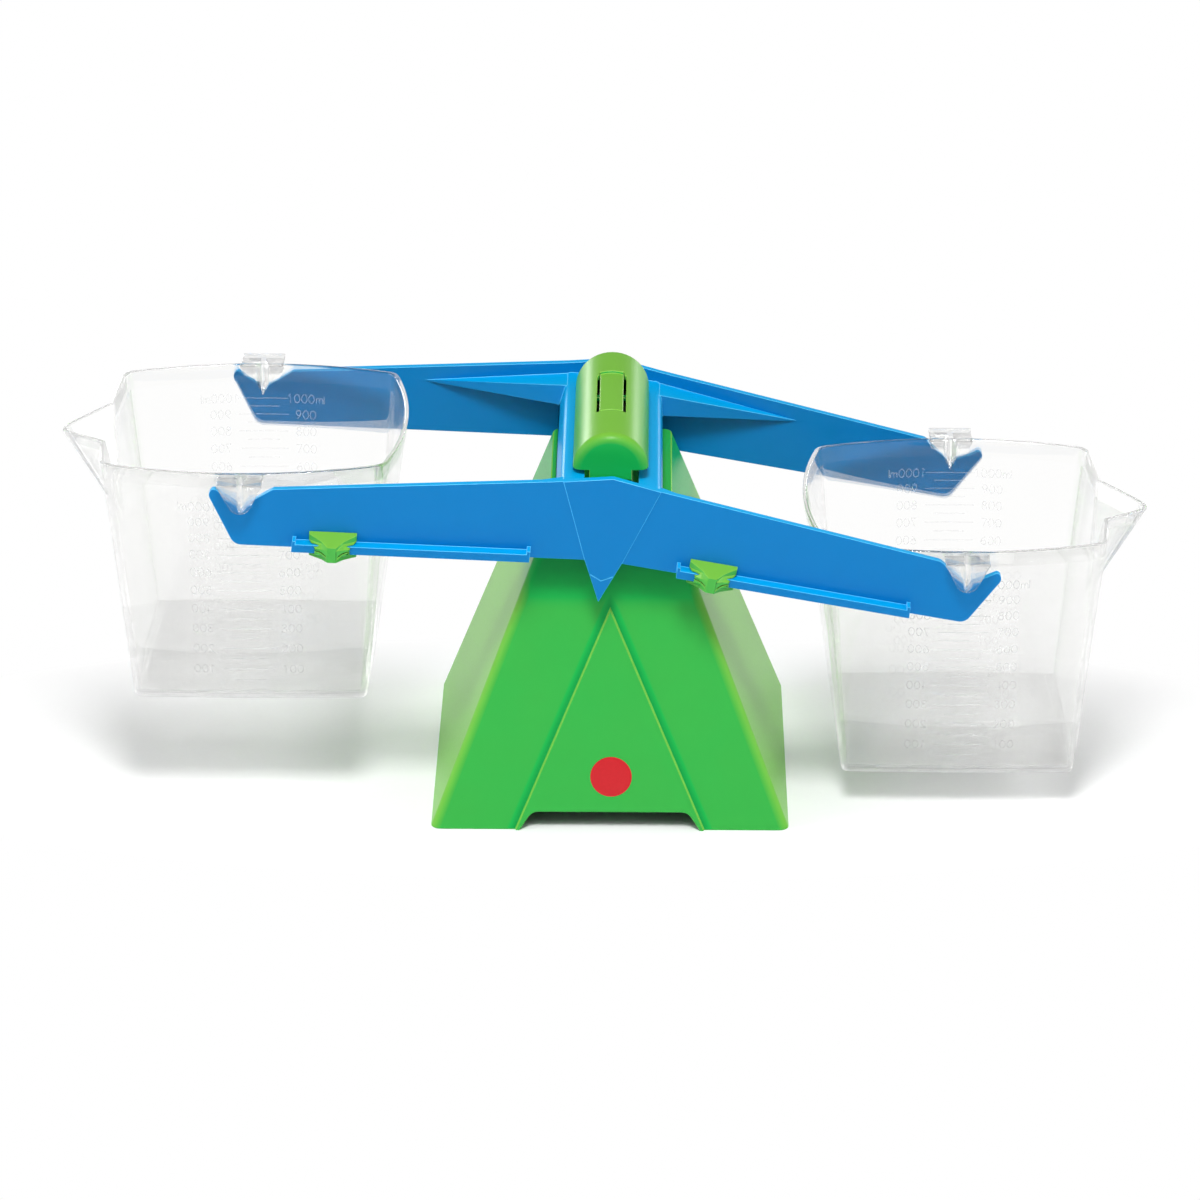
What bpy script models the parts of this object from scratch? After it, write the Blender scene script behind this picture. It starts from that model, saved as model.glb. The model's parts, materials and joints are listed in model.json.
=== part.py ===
"""Bucket balance: a hollow stand, a double beam that rocks on an axle in the stand's post,
two clear pouring buckets that hang on knife edges, and two sliding clips that set the zero.

Metres, +Z up, +X to the right of the pointer's side, front towards -Y.
The origin is the middle of the stand's foot, on the table.
"""
import math

import bmesh
import bpy
from mathutils import Matrix, Vector

OBJECT_NAME = "bucket_balance"

# Clearances
GAP = 0.0003
HUB_CLEARANCE = 0.0025
BUCKET_SIDE_CLEARANCE = 0.0025
SKIRT_CLEARANCE = 0.0042

# Stand: foot, hollow pyramid and front panel
BASE_HALF_WIDTH = 0.0770
BASE_HALF_DEPTH = 0.07263
BASE_TOP_HALF_WIDTH = 0.0260
BASE_TOP_HALF_DEPTH = 0.0496
BASE_HEIGHT = 0.1355
BASE_WALL = 0.0025
BASE_CORNER_ROUND = 0.0040
BASE_SHOULDER_ROUND = 0.0085
PANEL_HEIGHT = 0.0970
PANEL_HALF_WIDTH = 0.0405
PANEL_PROUD = 0.0010
FINGER_HEIGHT = 0.0082
FINGER_HALF_WIDTH = 0.0388
FINGER_FLARE = 0.0055
FINGER_ROUND = 0.0050

# Stand: hollow post that carries the bearings
POST_HALF_WIDTH = 0.0090
POST_HALF_DEPTH = 0.04585
POST_WALL = 0.0022
PIVOT_RISE = 0.0143
CATCH_DROP = 0.0030
CATCH_HEIGHT = 0.0020
CATCH_LENGTH = 0.0030

# Axle and bearings
AXLE_RADIUS = 0.0020
BEARING_HALF_WIDTH = 0.0040
BEARING_FLOOR = 0.0032
BEARING_RISE = 0.0060
BEARING_FLANGE = 0.0014
BEARING_LIP = 0.0023
BOSS_RADIUS = 0.0040
BOSS_LENGTH = 0.0080

# Cap and its push tongue
CAP_RADIUS = 0.0160
CAP_WALL = 0.0020
CAP_RISE = 0.0078
CAP_END_ROUND = 0.0040
APRON_DROP = 0.0044
LATCH_HALF_WIDTH = 0.00505
LATCH_FRONT_Y = -0.0196
LATCH_LENGTH = 0.0444
LATCH_END_ROUND = 0.0042
LATCH_LIP_LENGTH = 0.0042
LATCH_LIP_PROUD = 0.0011
SLOT_WIDTH = 0.0012
SLOT_BACK_Y = 0.0204
HOOK_HALF_WIDTH = 0.0030
HOOK_THICKNESS = 0.0020
HOOK_BITE = 0.0006
HOOK_Y = 0.0117

# Beam, in its own frame: the origin is the axle, +X along the beam when it is level
BEAM_TILT = math.radians(6.453)
PLATE_INNER_Y = 0.0640
PLATE_THICKNESS = 0.0030
PLATE_APEX = (0.0, 0.0122)
PLATE_BREAK = (0.0205, 0.0086)
PLATE_SHOULDER = (0.1407, -0.0092)
HANG_X = 0.1532
HANG_Z = -0.0204
NOTCH_HALF_WIDTH = 0.0018
NOTCH_DEPTH = 0.0034
ARM_INNER = (0.0080, 0.0064)
ARM_TIP = (0.0126, 0.0092)
ARM_OUTER = (0.0142, 0.0056)
ARM_ROUND = 0.0030
ARM_TIP_ROUND = 0.0020
SHOULDER_ROUND = 0.0040
NOTCH_ROUND = 0.0010
PLATE_CORNER = (0.1548, -0.0362)
PLATE_CORNER_ROUND = 0.0050
PLATE_ROOT = (0.0078, -0.0260)
POINTER_TIP_Z = -0.0446
POINTER_PROUD = 0.0004
CHEVRON_HALF_WIDTH = 0.0046
CHEVRON_Z = -0.0323
CHEVRON_DROP = 0.0023
CHEVRON_GROOVE = 0.0003
HUB_HALF_WIDTH = 0.0210
HUB_FOOT_HALF_WIDTH = 0.0229
HUB_TOP_Z = 0.0042
HUB_FOOT_Z = -0.0065
HUB_WALL = 0.0022
HUB_ROUND = 0.0030
FAIRING_REACH = 0.0830
FAIRING_DEPTH = 0.0140
FAIRING_TOP_Z = 0.0036
FAIRING_FOOT_Z = -0.0063
FAIRING_TIP_Z = -0.0070

# Rails and their clips
RAIL_START = 0.0310
RAIL_MARGIN = 0.0227
RAIL_HEIGHT = 0.0036
RAIL_PROUD = 0.0054
RAIL_NUB_WIDTH = 0.0014
RAIL_NUB_HEIGHT = 0.0014
CLIP_LEFT_MARGIN = 0.0172
CLIP_RIGHT_X = 0.0458
CLIP_HALF_WIDTH = 0.0100
CLIP_WAIST = 0.0074
CLIP_NOSE = 0.0018
CLIP_NOSE_REACH = 0.0033
CLIP_RISE = 0.0040
CLIP_SLOPE = 0.0036
CLIP_SIDE = 0.0014
CLIP_FLANK = 0.0045
CLIP_WALL = 0.0009
CLIP_ROUND = 0.0007
CLIP_SLIT = 0.0005
CLIP_FOOT = 0.0022
CLIP_LIP = 0.0012

# Buckets, from their hang point: +X towards the spout
BUCKET_RIM_Z = 0.0142
BUCKET_HEIGHT = 0.1100
BUCKET_WALL = 0.0018
BUCKET_RIM_HALF_X = 0.0600
BUCKET_RIM_BOW = 0.0100
BUCKET_HUB_BOW = 0.0074
BUCKET_SPOUT_BOW = 0.0038
BUCKET_FLOOR_HALF_X = 0.0500
BUCKET_FLOOR_HALF_Y = 0.0500
BUCKET_FLOOR_BOW = 0.0010
BUCKET_RIM_CORNER = 0.0075
BUCKET_FLOOR_CORNER = 0.0035
BUCKET_FLOOR_ROUND = 0.0020
SPOUT_REACH = 0.0221
SPOUT_HALF_WIDTH = 0.0221
SPOUT_DEPTH = 0.0460
SPOUT_ROOT_DROP = 0.0023
SPOUT_TIP_DROP = 0.0054
SPOUT_TIP_HALF_WIDTH = 0.0020
TAB_HALF_WIDTH = 0.0094
TAB_THICKNESS = 0.0015
SKIRT_THICKNESS = 0.0020
SKIRT_DEPTH = 0.0172
SKIRT_EDGE = 0.0006
SKIRT_ROUND = 0.0050
FIN_HALF_WIDTH = 0.00115
FIN_EDGE_HALF_WIDTH = 0.0007
FIN_EDGE_HEIGHT = 0.0016
FIN_TAPER_HEIGHT = 0.0045

# Mesh fineness
CORNER_STEPS = 5
ROUND_STEPS = 12
BARREL_STEPS = 24
SIDE_STEPS = 8
OVERCUT = 0.010
WELD = 0.000002
ROUND_SHARE = 0.3

# Derived places
pivot_z = BASE_HEIGHT + PIVOT_RISE
cap_z = pivot_z + CAP_RISE
cap_inner_radius = CAP_RADIUS - CAP_WALL
cap_inner_y = POST_HALF_DEPTH + GAP
cap_end_y = cap_inner_y + CAP_WALL
post_top_z = cap_z + math.sqrt((cap_inner_radius - GAP) ** 2 - POST_HALF_WIDTH ** 2)
post_inner_x = POST_HALF_WIDTH - POST_WALL
post_inner_y = POST_HALF_DEPTH - POST_WALL
bore_radius = AXLE_RADIUS + GAP
bearing_foot_z = pivot_z - bore_radius - BEARING_FLOOR
plate_outer_y = PLATE_INNER_Y + PLATE_THICKNESS
rail_angle = math.atan2(PLATE_ROOT[1] - PLATE_CORNER[1], PLATE_CORNER[0] - PLATE_ROOT[0])
rail_front_y = plate_outer_y + RAIL_PROUD
rail_end = HANG_X - RAIL_MARGIN
clip_left_x = CLIP_LEFT_MARGIN - rail_end
bucket_floor_z = BUCKET_RIM_Z - BUCKET_HEIGHT
bucket_rim_half_y = PLATE_INNER_Y - BUCKET_SIDE_CLEARANCE - BUCKET_RIM_BOW
skirt_inner_y = plate_outer_y + SKIRT_CLEARANCE
skirt_outer_y = skirt_inner_y + SKIRT_THICKNESS


def collection(name):
    """Return a new collection linked to the scene."""
    made = bpy.data.collections.new(name)
    bpy.context.scene.collection.children.link(made)
    return made


def material(name, colour, roughness, alpha=1.0):
    """Return a Principled material; colour is linear RGB."""
    made = bpy.data.materials.new(name)
    made.use_nodes = True
    shader = made.node_tree.nodes["Principled BSDF"]
    shader.inputs["Base Color"].default_value = (*colour, 1.0)
    shader.inputs["Roughness"].default_value = roughness
    shader.inputs["Alpha"].default_value = alpha
    made.diffuse_color = (*colour, alpha)
    return made


def rounded_outline(corners, steps=CORNER_STEPS):
    """Return outline points from (x, y, radius) corners, with an arc at each radius."""
    points = []
    for index, (x, y, radius) in enumerate(corners):
        corner = Vector((x, y))
        if radius == 0:
            points.append(corner)
            continue
        before = Vector(corners[index - 1][:2]) - corner
        after = Vector(corners[(index + 1) % len(corners)][:2]) - corner
        half_angle = before.angle(after) / 2
        reach = min(radius / math.tan(half_angle), 0.48 * min(before.length, after.length))
        before.normalize()
        after.normalize()
        centre = corner + (before + after).normalized() * (reach / math.cos(half_angle))
        start = corner + before * reach - centre
        end = corner + after * reach - centre
        sweep = math.atan2(start.x * end.y - start.y * end.x, start.dot(end))
        for step in range(steps + 1):
            turn = Matrix.Rotation(sweep * step / steps, 2)
            points.append(centre + turn @ start)
    return points


def arc(centre, radius, start, end, steps):
    """Return points on an arc, with angles in radians."""
    angles = [start + (end - start) * step / steps for step in range(steps + 1)]
    return [Vector((centre[0] + radius * math.cos(a), centre[1] + radius * math.sin(a))) for a in angles]


def add_object(name, mesh, home):
    """Link a mesh as an object."""
    made = bpy.data.objects.new(name, mesh)
    home.objects.link(made)
    return made


def tidy_mesh(mesh):
    """Weld a mesh's doubles and turn its faces outwards."""
    work = bmesh.new()
    work.from_mesh(mesh)
    bmesh.ops.remove_doubles(work, verts=work.verts, dist=WELD)
    bmesh.ops.dissolve_degenerate(work, edges=work.edges, dist=WELD / 2)
    bmesh.ops.recalc_face_normals(work, faces=work.faces)
    work.to_mesh(mesh)
    work.free()


def bake(piece):
    """Replace an object's mesh by its evaluated one."""
    bpy.context.view_layer.update()
    evaluated = piece.evaluated_get(bpy.context.evaluated_depsgraph_get())
    mesh = bpy.data.meshes.new_from_object(evaluated)
    piece.modifiers.clear()
    piece.data = mesh
    tidy_mesh(mesh)


def prism(name, points, low, high, plane="XZ", home=None):
    """Return a flat outline made solid between two depths, across XZ, YZ or XY."""
    curve = bpy.data.curves.new(name, "CURVE")
    curve.dimensions = "2D"
    curve.fill_mode = "BOTH"
    curve.extrude = (high - low) / 2
    spline = curve.splines.new("POLY")
    spline.points.add(len(points) - 1)
    for target, point in zip(spline.points, points):
        target.co = (point[0], point[1], 0, 1)
    spline.use_cyclic_u = True
    drawn = add_object(name + "_outline", curve, home or parts)
    bpy.context.view_layer.update()
    evaluated = drawn.evaluated_get(bpy.context.evaluated_depsgraph_get())
    mesh = bpy.data.meshes.new_from_object(evaluated)
    middle = (low + high) / 2
    turns = {
        "XY": Matrix.Translation((0, 0, middle)),
        "XZ": Matrix.Translation((0, middle, 0)) @ Matrix.Rotation(math.pi / 2, 4, "X"),
        "YZ": Matrix.Translation((middle, 0, 0)) @ Matrix(
            ((0, 0, 1, 0), (1, 0, 0, 0), (0, 1, 0, 0), (0, 0, 0, 1))),
    }
    mesh.transform(turns[plane])
    bpy.data.objects.remove(drawn)
    tidy_mesh(mesh)
    return add_object(name, mesh, home or parts)


def box(name, low, high, home=None):
    """Return a box between two corners."""
    mesh = bmesh.new()
    bmesh.ops.create_cube(mesh, size=1)
    size = Vector(high) - Vector(low)
    bmesh.ops.scale(mesh, verts=mesh.verts, vec=size)
    bmesh.ops.translate(mesh, verts=mesh.verts, vec=(Vector(high) + Vector(low)) / 2)
    made = bpy.data.meshes.new(name)
    mesh.to_mesh(made)
    mesh.free()
    return add_object(name, made, home or parts)


def rod(name, radius, near_y, far_y, steps=2 * ROUND_STEPS, home=None):
    """Return a cylinder along Y through the frame's origin."""
    mesh = bmesh.new()
    bmesh.ops.create_cone(mesh, cap_ends=True, segments=steps, radius1=radius, radius2=radius,
                          depth=far_y - near_y)
    bmesh.ops.rotate(mesh, verts=mesh.verts, matrix=Matrix.Rotation(math.pi / 2, 3, "X"))
    bmesh.ops.translate(mesh, verts=mesh.verts, vec=(0, (near_y + far_y) / 2, 0))
    made = bpy.data.meshes.new(name)
    mesh.to_mesh(made)
    mesh.free()
    return add_object(name, made, home or parts)


def loft(name, rings, home=None):
    """Return a closed solid through rings of equal length, capped at both ends."""
    work = bmesh.new()
    loops = [[work.verts.new(point) for point in ring] for ring in rings]
    for lower, upper in zip(loops, loops[1:]):
        for index in range(len(lower)):
            follow = (index + 1) % len(lower)
            work.faces.new((lower[index], lower[follow], upper[follow], upper[index]))
    work.faces.new(loops[0])
    work.faces.new(loops[-1])
    mesh = bpy.data.meshes.new(name)
    work.to_mesh(mesh)
    work.free()
    tidy_mesh(mesh)
    return add_object(name, mesh, home or parts)


def boolean(target, tool, operation):
    """Add a Boolean modifier."""
    modifier = target.modifiers.new(operation.title(), "BOOLEAN")
    modifier.operation = operation
    modifier.solver = "EXACT"
    modifier.object = tool


def join(target, *pieces):
    """Fuse pieces into the target and remove them."""
    for piece in pieces:
        boolean(target, piece, "UNION")
        bake(target)
        bpy.data.objects.remove(piece)


def keep_common(target, tool):
    """Keep what the target shares with the tool, and remove the tool."""
    boolean(target, tool, "INTERSECT")
    bake(target)
    bpy.data.objects.remove(tool)


def carve(target, *tools):
    """Cut the target by tools at once, and remove them."""
    for tool in tools:
        boolean(target, tool, "DIFFERENCE")
        bake(target)
        bpy.data.objects.remove(tool)


def finish(piece, look, smooth_angle=math.radians(35)):
    """Give a piece its material and smooth its round faces."""
    piece.data.materials.clear()
    piece.data.materials.append(look)
    piece.data.shade_smooth()
    piece.data.set_sharp_from_angle(angle=smooth_angle)
    return piece


def mix(low, high, share):
    """Return the value between low and high."""
    return low + (high - low) * share


# Stand
def frustum(name, foot, top, foot_z, top_z, rounds=None, home=None):
    """Return a four-sided frustum; rounds is (corner, side, end) bevel widths of its edges."""
    work = bmesh.new()
    bmesh.ops.create_cube(work, size=2)
    for vert in work.verts:
        reach = top if vert.co.z > 0 else foot
        height = top_z if vert.co.z > 0 else foot_z
        vert.co = (vert.co.x * reach[0], vert.co.y * reach[1], height)
    if rounds:
        weight = work.edges.layers.float.new("bevel_weight_edge")
        for edge in work.edges:
            first, second = (vert.co for vert in edge.verts)
            if abs(first.z - second.z) > (top_z - foot_z) / 2:
                edge[weight] = rounds[0] / max(rounds)
            elif first.z == top_z:
                along_y = abs(first.x - second.x) < abs(first.y - second.y)
                edge[weight] = (rounds[1] if along_y else rounds[2]) / max(rounds)
    mesh = bpy.data.meshes.new(name)
    work.to_mesh(mesh)
    work.free()
    made = add_object(name, mesh, home or parts)
    if rounds:
        bevel = made.modifiers.new("Bevel", "BEVEL")
        bevel.limit_method = "WEIGHT"
        bevel.width = max(rounds)
        bevel.segments = CORNER_STEPS
        bake(made)
    return made


def base_reach(z, inset=0.0):
    """Return the pyramid's half width and half depth at a height."""
    share = z / BASE_HEIGHT
    half_width = mix(BASE_HALF_WIDTH, BASE_TOP_HALF_WIDTH, share) - inset
    half_depth = mix(BASE_HALF_DEPTH, BASE_TOP_HALF_DEPTH, share) - inset
    return half_width, half_depth


def make_base(look):
    """Stand: hollow pyramid, raised front panel and hollow post with its bearing seats."""
    edge_rounds = (BASE_CORNER_ROUND, BASE_SHOULDER_ROUND, BASE_CORNER_ROUND)
    base = frustum("base_shell", base_reach(0), base_reach(BASE_HEIGHT), 0, BASE_HEIGHT, edge_rounds)
    proud_foot, proud_top = base_reach(0), base_reach(BASE_HEIGHT)
    panel = frustum("panel", (proud_foot[0], proud_foot[1] + PANEL_PROUD),
                    (proud_top[0], proud_top[1] + PANEL_PROUD), 0, BASE_HEIGHT)
    peak = [Vector((-PANEL_HALF_WIDTH, 0)), Vector((PANEL_HALF_WIDTH, 0)), Vector((0, PANEL_HEIGHT))]
    keep_common(panel, prism("panel_face", peak, -2 * BASE_HALF_DEPTH, -BASE_TOP_HALF_DEPTH / 2))
    post = box("post", (-POST_HALF_WIDTH, -POST_HALF_DEPTH, BASE_HEIGHT - BASE_WALL),
               (POST_HALF_WIDTH, POST_HALF_DEPTH, post_top_z))
    join(base, panel, post)

    deck_foot_z = BASE_HEIGHT - BASE_WALL
    hollow = frustum("base_hollow", base_reach(-OVERCUT, BASE_WALL), base_reach(deck_foot_z, BASE_WALL),
                     -OVERCUT, deck_foot_z, None, cutters)
    post_bore = box("post_bore", (-post_inner_x, -post_inner_y, BASE_HEIGHT - BASE_WALL - OVERCUT),
                    (post_inner_x, post_inner_y, post_top_z + OVERCUT), cutters)
    seat = box("bearing_seats", (-BEARING_HALF_WIDTH - GAP, -POST_HALF_DEPTH - OVERCUT, bearing_foot_z - GAP),
               (BEARING_HALF_WIDTH + GAP, POST_HALF_DEPTH + OVERCUT, post_top_z + OVERCUT), cutters)
    arch = rounded_outline([
        (-FINGER_HALF_WIDTH - FINGER_FLARE, -FINGER_HEIGHT, 0),
        (FINGER_HALF_WIDTH + FINGER_FLARE, -FINGER_HEIGHT, 0),
        (FINGER_HALF_WIDTH - FINGER_FLARE, FINGER_HEIGHT, FINGER_ROUND),
        (-FINGER_HALF_WIDTH + FINGER_FLARE, FINGER_HEIGHT, FINGER_ROUND),
    ])
    finger = prism("finger_hole", arch, -BASE_HALF_DEPTH - OVERCUT, -BASE_HALF_DEPTH / 2, "XZ", cutters)
    carve(base, hollow, post_bore, seat, finger)

    bar_top = post_top_z - CATCH_DROP
    bar_x = post_inner_x + POST_WALL / 2
    bar_y = HOOK_Y + HOOK_THICKNESS + GAP
    bar = box("catch_bar", (-bar_x, bar_y, bar_top - CATCH_HEIGHT), (bar_x, bar_y + CATCH_LENGTH, bar_top))
    join(base, bar)
    return finish(base, look)


# Bearings and axle
def make_bearing(name, side, look):
    """Insert with a U notch that hangs in the slot of the post's end wall; side is -1 or 1."""
    top_z = pivot_z + BEARING_RISE
    notch = arc((0, pivot_z), bore_radius, math.pi, 2 * math.pi, ROUND_STEPS)
    notch_open = [Vector((bore_radius, top_z + OVERCUT)), Vector((-bore_radius, top_z + OVERCUT))]
    seat_y = sorted((side * (post_inner_y - GAP), side * (POST_HALF_DEPTH - GAP)))
    flange_y = sorted((side * (post_inner_y - GAP - BEARING_FLANGE), side * (post_inner_y - GAP)))
    web = box(name, (-BEARING_HALF_WIDTH, seat_y[0], bearing_foot_z), (BEARING_HALF_WIDTH, seat_y[1], top_z))
    half_flange = BEARING_HALF_WIDTH + BEARING_LIP
    flange = box("flange", (-half_flange, flange_y[0], bearing_foot_z - BEARING_LIP / 2),
                 (half_flange, flange_y[1], top_z))
    join(web, flange)
    carve(web, prism("notch", notch + notch_open, -POST_HALF_DEPTH - OVERCUT, POST_HALF_DEPTH + OVERCUT,
                     "XZ", cutters))
    return finish(web, look)


def make_axle(look):
    """Rod through the beam's bosses; it lies in the bearings' notches."""
    axle = rod("pivot_axle", AXLE_RADIUS, -PLATE_INNER_Y + GAP, PLATE_INNER_Y - GAP)
    return finish(axle, look)


# Cap
def barrel(name, radius, near_y, far_y, foot_z, home=None):
    """Return a half cylinder along Y with straight sides down to foot_z."""
    outline = arc((0, cap_z), radius, 0, math.pi, BARREL_STEPS)
    if foot_z < cap_z:
        outline += [Vector((-radius, foot_z)), Vector((radius, foot_z))]
    return prism(name, outline, near_y, far_y, "XZ", home)


def make_cap(look):
    """Half barrel over the post, closed at its ends, with an apron over each bearing."""
    turns = [math.pi / 2 * step / CORNER_STEPS for step in range(CORNER_STEPS + 1)]
    ends = [(cap_end_y - CAP_END_ROUND * (1 - math.sin(turn)), CAP_RADIUS - CAP_END_ROUND * (1 - math.cos(turn)))
            for turn in turns]
    levels = [(-y, radius) for y, radius in reversed(ends)] + ends
    cap = loft("cap", [[(point.x, y, point.y) for point in arc((0, cap_z), radius, 0, math.pi, BARREL_STEPS)]
                       for y, radius in levels])
    for side in (-1, 1):
        apron_y = sorted((side * cap_inner_y, side * cap_end_y))
        join(cap, box("apron", (-POST_HALF_WIDTH, apron_y[0], cap_z - APRON_DROP),
                      (POST_HALF_WIDTH, apron_y[1], cap_z + CAP_WALL)))
    hollow = barrel("cap_hollow", cap_inner_radius, -cap_inner_y, cap_inner_y, cap_z - OVERCUT, cutters)
    slot_x = LATCH_HALF_WIDTH + SLOT_WIDTH
    tongue_x = LATCH_HALF_WIDTH + GAP
    front_y = LATCH_FRONT_Y - GAP
    end_y = LATCH_FRONT_Y + LATCH_LENGTH + GAP
    half = [(slot_x, front_y, 0), (slot_x, SLOT_BACK_Y, 0), (tongue_x, SLOT_BACK_Y, 0),
            (tongue_x, end_y, LATCH_END_ROUND + GAP)]
    outline = rounded_outline(half + [(-x, y, radius) for x, y, radius in reversed(half)])
    crown_z = cap_z + CAP_RADIUS
    window = prism("tongue_window", outline, crown_z - CAP_RADIUS / 2, crown_z + OVERCUT, "XY", cutters)
    carve(cap, hollow, window)
    return finish(cap, look)


def make_latch(look):
    """Push tongue with a raised lip; its hook holds under the post's catch bar."""
    end_y = LATCH_FRONT_Y + LATCH_LENGTH
    latch = barrel("cap_latch", CAP_RADIUS, LATCH_FRONT_Y, end_y, cap_z)
    lip = barrel("lip", CAP_RADIUS + LATCH_LIP_PROUD, end_y - LATCH_LIP_LENGTH, end_y, cap_z)
    join(latch, lip)
    hollow = barrel("latch_hollow", cap_inner_radius, -cap_inner_y, cap_inner_y, cap_z - OVERCUT, cutters)
    carve(latch, hollow)
    plan = rounded_outline([
        (-LATCH_HALF_WIDTH, LATCH_FRONT_Y - OVERCUT, 0),
        (LATCH_HALF_WIDTH, LATCH_FRONT_Y - OVERCUT, 0),
        (LATCH_HALF_WIDTH, end_y, LATCH_END_ROUND),
        (-LATCH_HALF_WIDTH, end_y, LATCH_END_ROUND),
    ])
    keep_common(latch, prism("tongue", plan, cap_z + CAP_RADIUS / 2, cap_z + CAP_RADIUS + OVERCUT, "XY"))
    bar_foot = post_top_z - CATCH_DROP - CATCH_HEIGHT
    leg_back = HOOK_Y + HOOK_THICKNESS
    leg_foot = bar_foot - GAP - HOOK_THICKNESS
    barb_y = leg_back + GAP + HOOK_BITE
    side_view = [Vector((HOOK_Y, cap_z + cap_inner_radius + CAP_WALL / 4)), Vector((HOOK_Y, leg_foot)),
                 Vector((leg_back, leg_foot)), Vector((barb_y, bar_foot - GAP - HOOK_BITE)),
                 Vector((barb_y, bar_foot - GAP)), Vector((leg_back, bar_foot - GAP)),
                 Vector((leg_back, cap_z + cap_inner_radius + CAP_WALL / 4))]
    join(latch, prism("hook", side_view, -HOOK_HALF_WIDTH, HOOK_HALF_WIDTH, "YZ"))
    return finish(latch, look)


# Beam
def notch_outline(side):
    """Points of one arm's notch and hook from shoulder to outer corner; side is -1 or 1."""
    floor_z = HANG_Z - GAP
    points = [
        (PLATE_SHOULDER[0], PLATE_SHOULDER[1], SHOULDER_ROUND),
        (HANG_X - NOTCH_HALF_WIDTH, floor_z + NOTCH_DEPTH, NOTCH_ROUND),
        (HANG_X - NOTCH_HALF_WIDTH + 2 * GAP, floor_z + NOTCH_DEPTH / 2, 0),
        (HANG_X, floor_z, 0),
        (HANG_X + NOTCH_HALF_WIDTH - 2 * GAP, floor_z + NOTCH_DEPTH / 2, 0),
        (HANG_X + NOTCH_HALF_WIDTH, floor_z + NOTCH_DEPTH, NOTCH_ROUND),
        (HANG_X + ARM_INNER[0], HANG_Z + ARM_INNER[1], ARM_ROUND),
        (HANG_X + ARM_TIP[0], HANG_Z + ARM_TIP[1], ARM_TIP_ROUND),
        (HANG_X + ARM_OUTER[0], HANG_Z + ARM_OUTER[1], ARM_ROUND),
        (PLATE_CORNER[0], PLATE_CORNER[1], PLATE_CORNER_ROUND),
    ]
    return [(side * x, z, radius) for x, z, radius in points]


def plate_corners():
    """Corners of a beam plate, the same left and right."""
    right = notch_outline(1)
    left = list(reversed(notch_outline(-1)))
    top = [(-PLATE_BREAK[0], PLATE_BREAK[1], 0), (*PLATE_APEX, 0), (PLATE_BREAK[0], PLATE_BREAK[1], 0)]
    foot = [(PLATE_ROOT[0], PLATE_ROOT[1], 0), (-PLATE_ROOT[0], PLATE_ROOT[1], 0)]
    return top + right + foot + left


def make_fairing(side, end):
    """Tapered ledge between hub and plate, hollow from below; side and end are -1 or 1."""
    start_x = HUB_HALF_WIDTH - HUB_WALL / 2

    def ring(depth, inset, wall_y, foot_z):
        inner = PLATE_INNER_Y - depth + inset
        top_z = FAIRING_TOP_Z - inset
        return [(inner, foot_z), (wall_y, foot_z), (wall_y, top_z), (inner, top_z)]

    wall_y = PLATE_INNER_Y + PLATE_THICKNESS / 2
    near = ring(FAIRING_DEPTH, 0, wall_y, FAIRING_FOOT_Z)
    tip_y = PLATE_INNER_Y
    tip_foot_z = FAIRING_TIP_Z - GAP
    tip = [(tip_y, tip_foot_z), (wall_y, tip_foot_z), (wall_y, FAIRING_TIP_Z), (tip_y, FAIRING_TIP_Z)]
    solid = loft("fairing", [[(side * start_x, end * y, z) for y, z in near],
                             [(side * FAIRING_REACH, end * y, z) for y, z in tip]])
    hollow_reach = start_x + (FAIRING_REACH - start_x) * (1 - 2 * HUB_WALL / FAIRING_DEPTH)
    under = ring(FAIRING_DEPTH, HUB_WALL, PLATE_INNER_Y, FAIRING_FOOT_Z - OVERCUT)
    under_tip = [(tip_y - GAP, FAIRING_TIP_Z - OVERCUT), (tip_y, FAIRING_TIP_Z - OVERCUT),
                 (tip_y, FAIRING_TIP_Z), (tip_y - GAP, FAIRING_TIP_Z)]
    carve(solid, loft("fairing_hollow", [[(side * (HUB_FOOT_HALF_WIDTH - GAP), end * y, z) for y, z in under],
                                         [(side * hollow_reach, end * y, z) for y, z in under_tip]], cutters))
    return solid


def make_rail(side):
    """Rail on the front plate's outer face, with a stop nub at each end; side is -1 or 1."""
    slope = math.tan(rail_angle)

    def foot(x):
        return PLATE_ROOT[1] - (x - PLATE_ROOT[0]) * slope

    nub_inner = RAIL_START + RAIL_NUB_WIDTH
    nub_outer = rail_end - RAIL_NUB_WIDTH
    tall = RAIL_HEIGHT + RAIL_NUB_HEIGHT
    points = [(RAIL_START, foot(RAIL_START)), (rail_end, foot(rail_end)), (rail_end, foot(rail_end) + tall),
              (nub_outer, foot(nub_outer) + tall), (nub_outer, foot(nub_outer) + RAIL_HEIGHT),
              (nub_inner, foot(nub_inner) + RAIL_HEIGHT), (nub_inner, foot(nub_inner) + tall),
              (RAIL_START, foot(RAIL_START) + tall)]
    return prism("rail", [Vector((side * x, z)) for x, z in points], -rail_front_y,
                 -plate_outer_y + PLATE_THICKNESS / 2)


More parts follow.
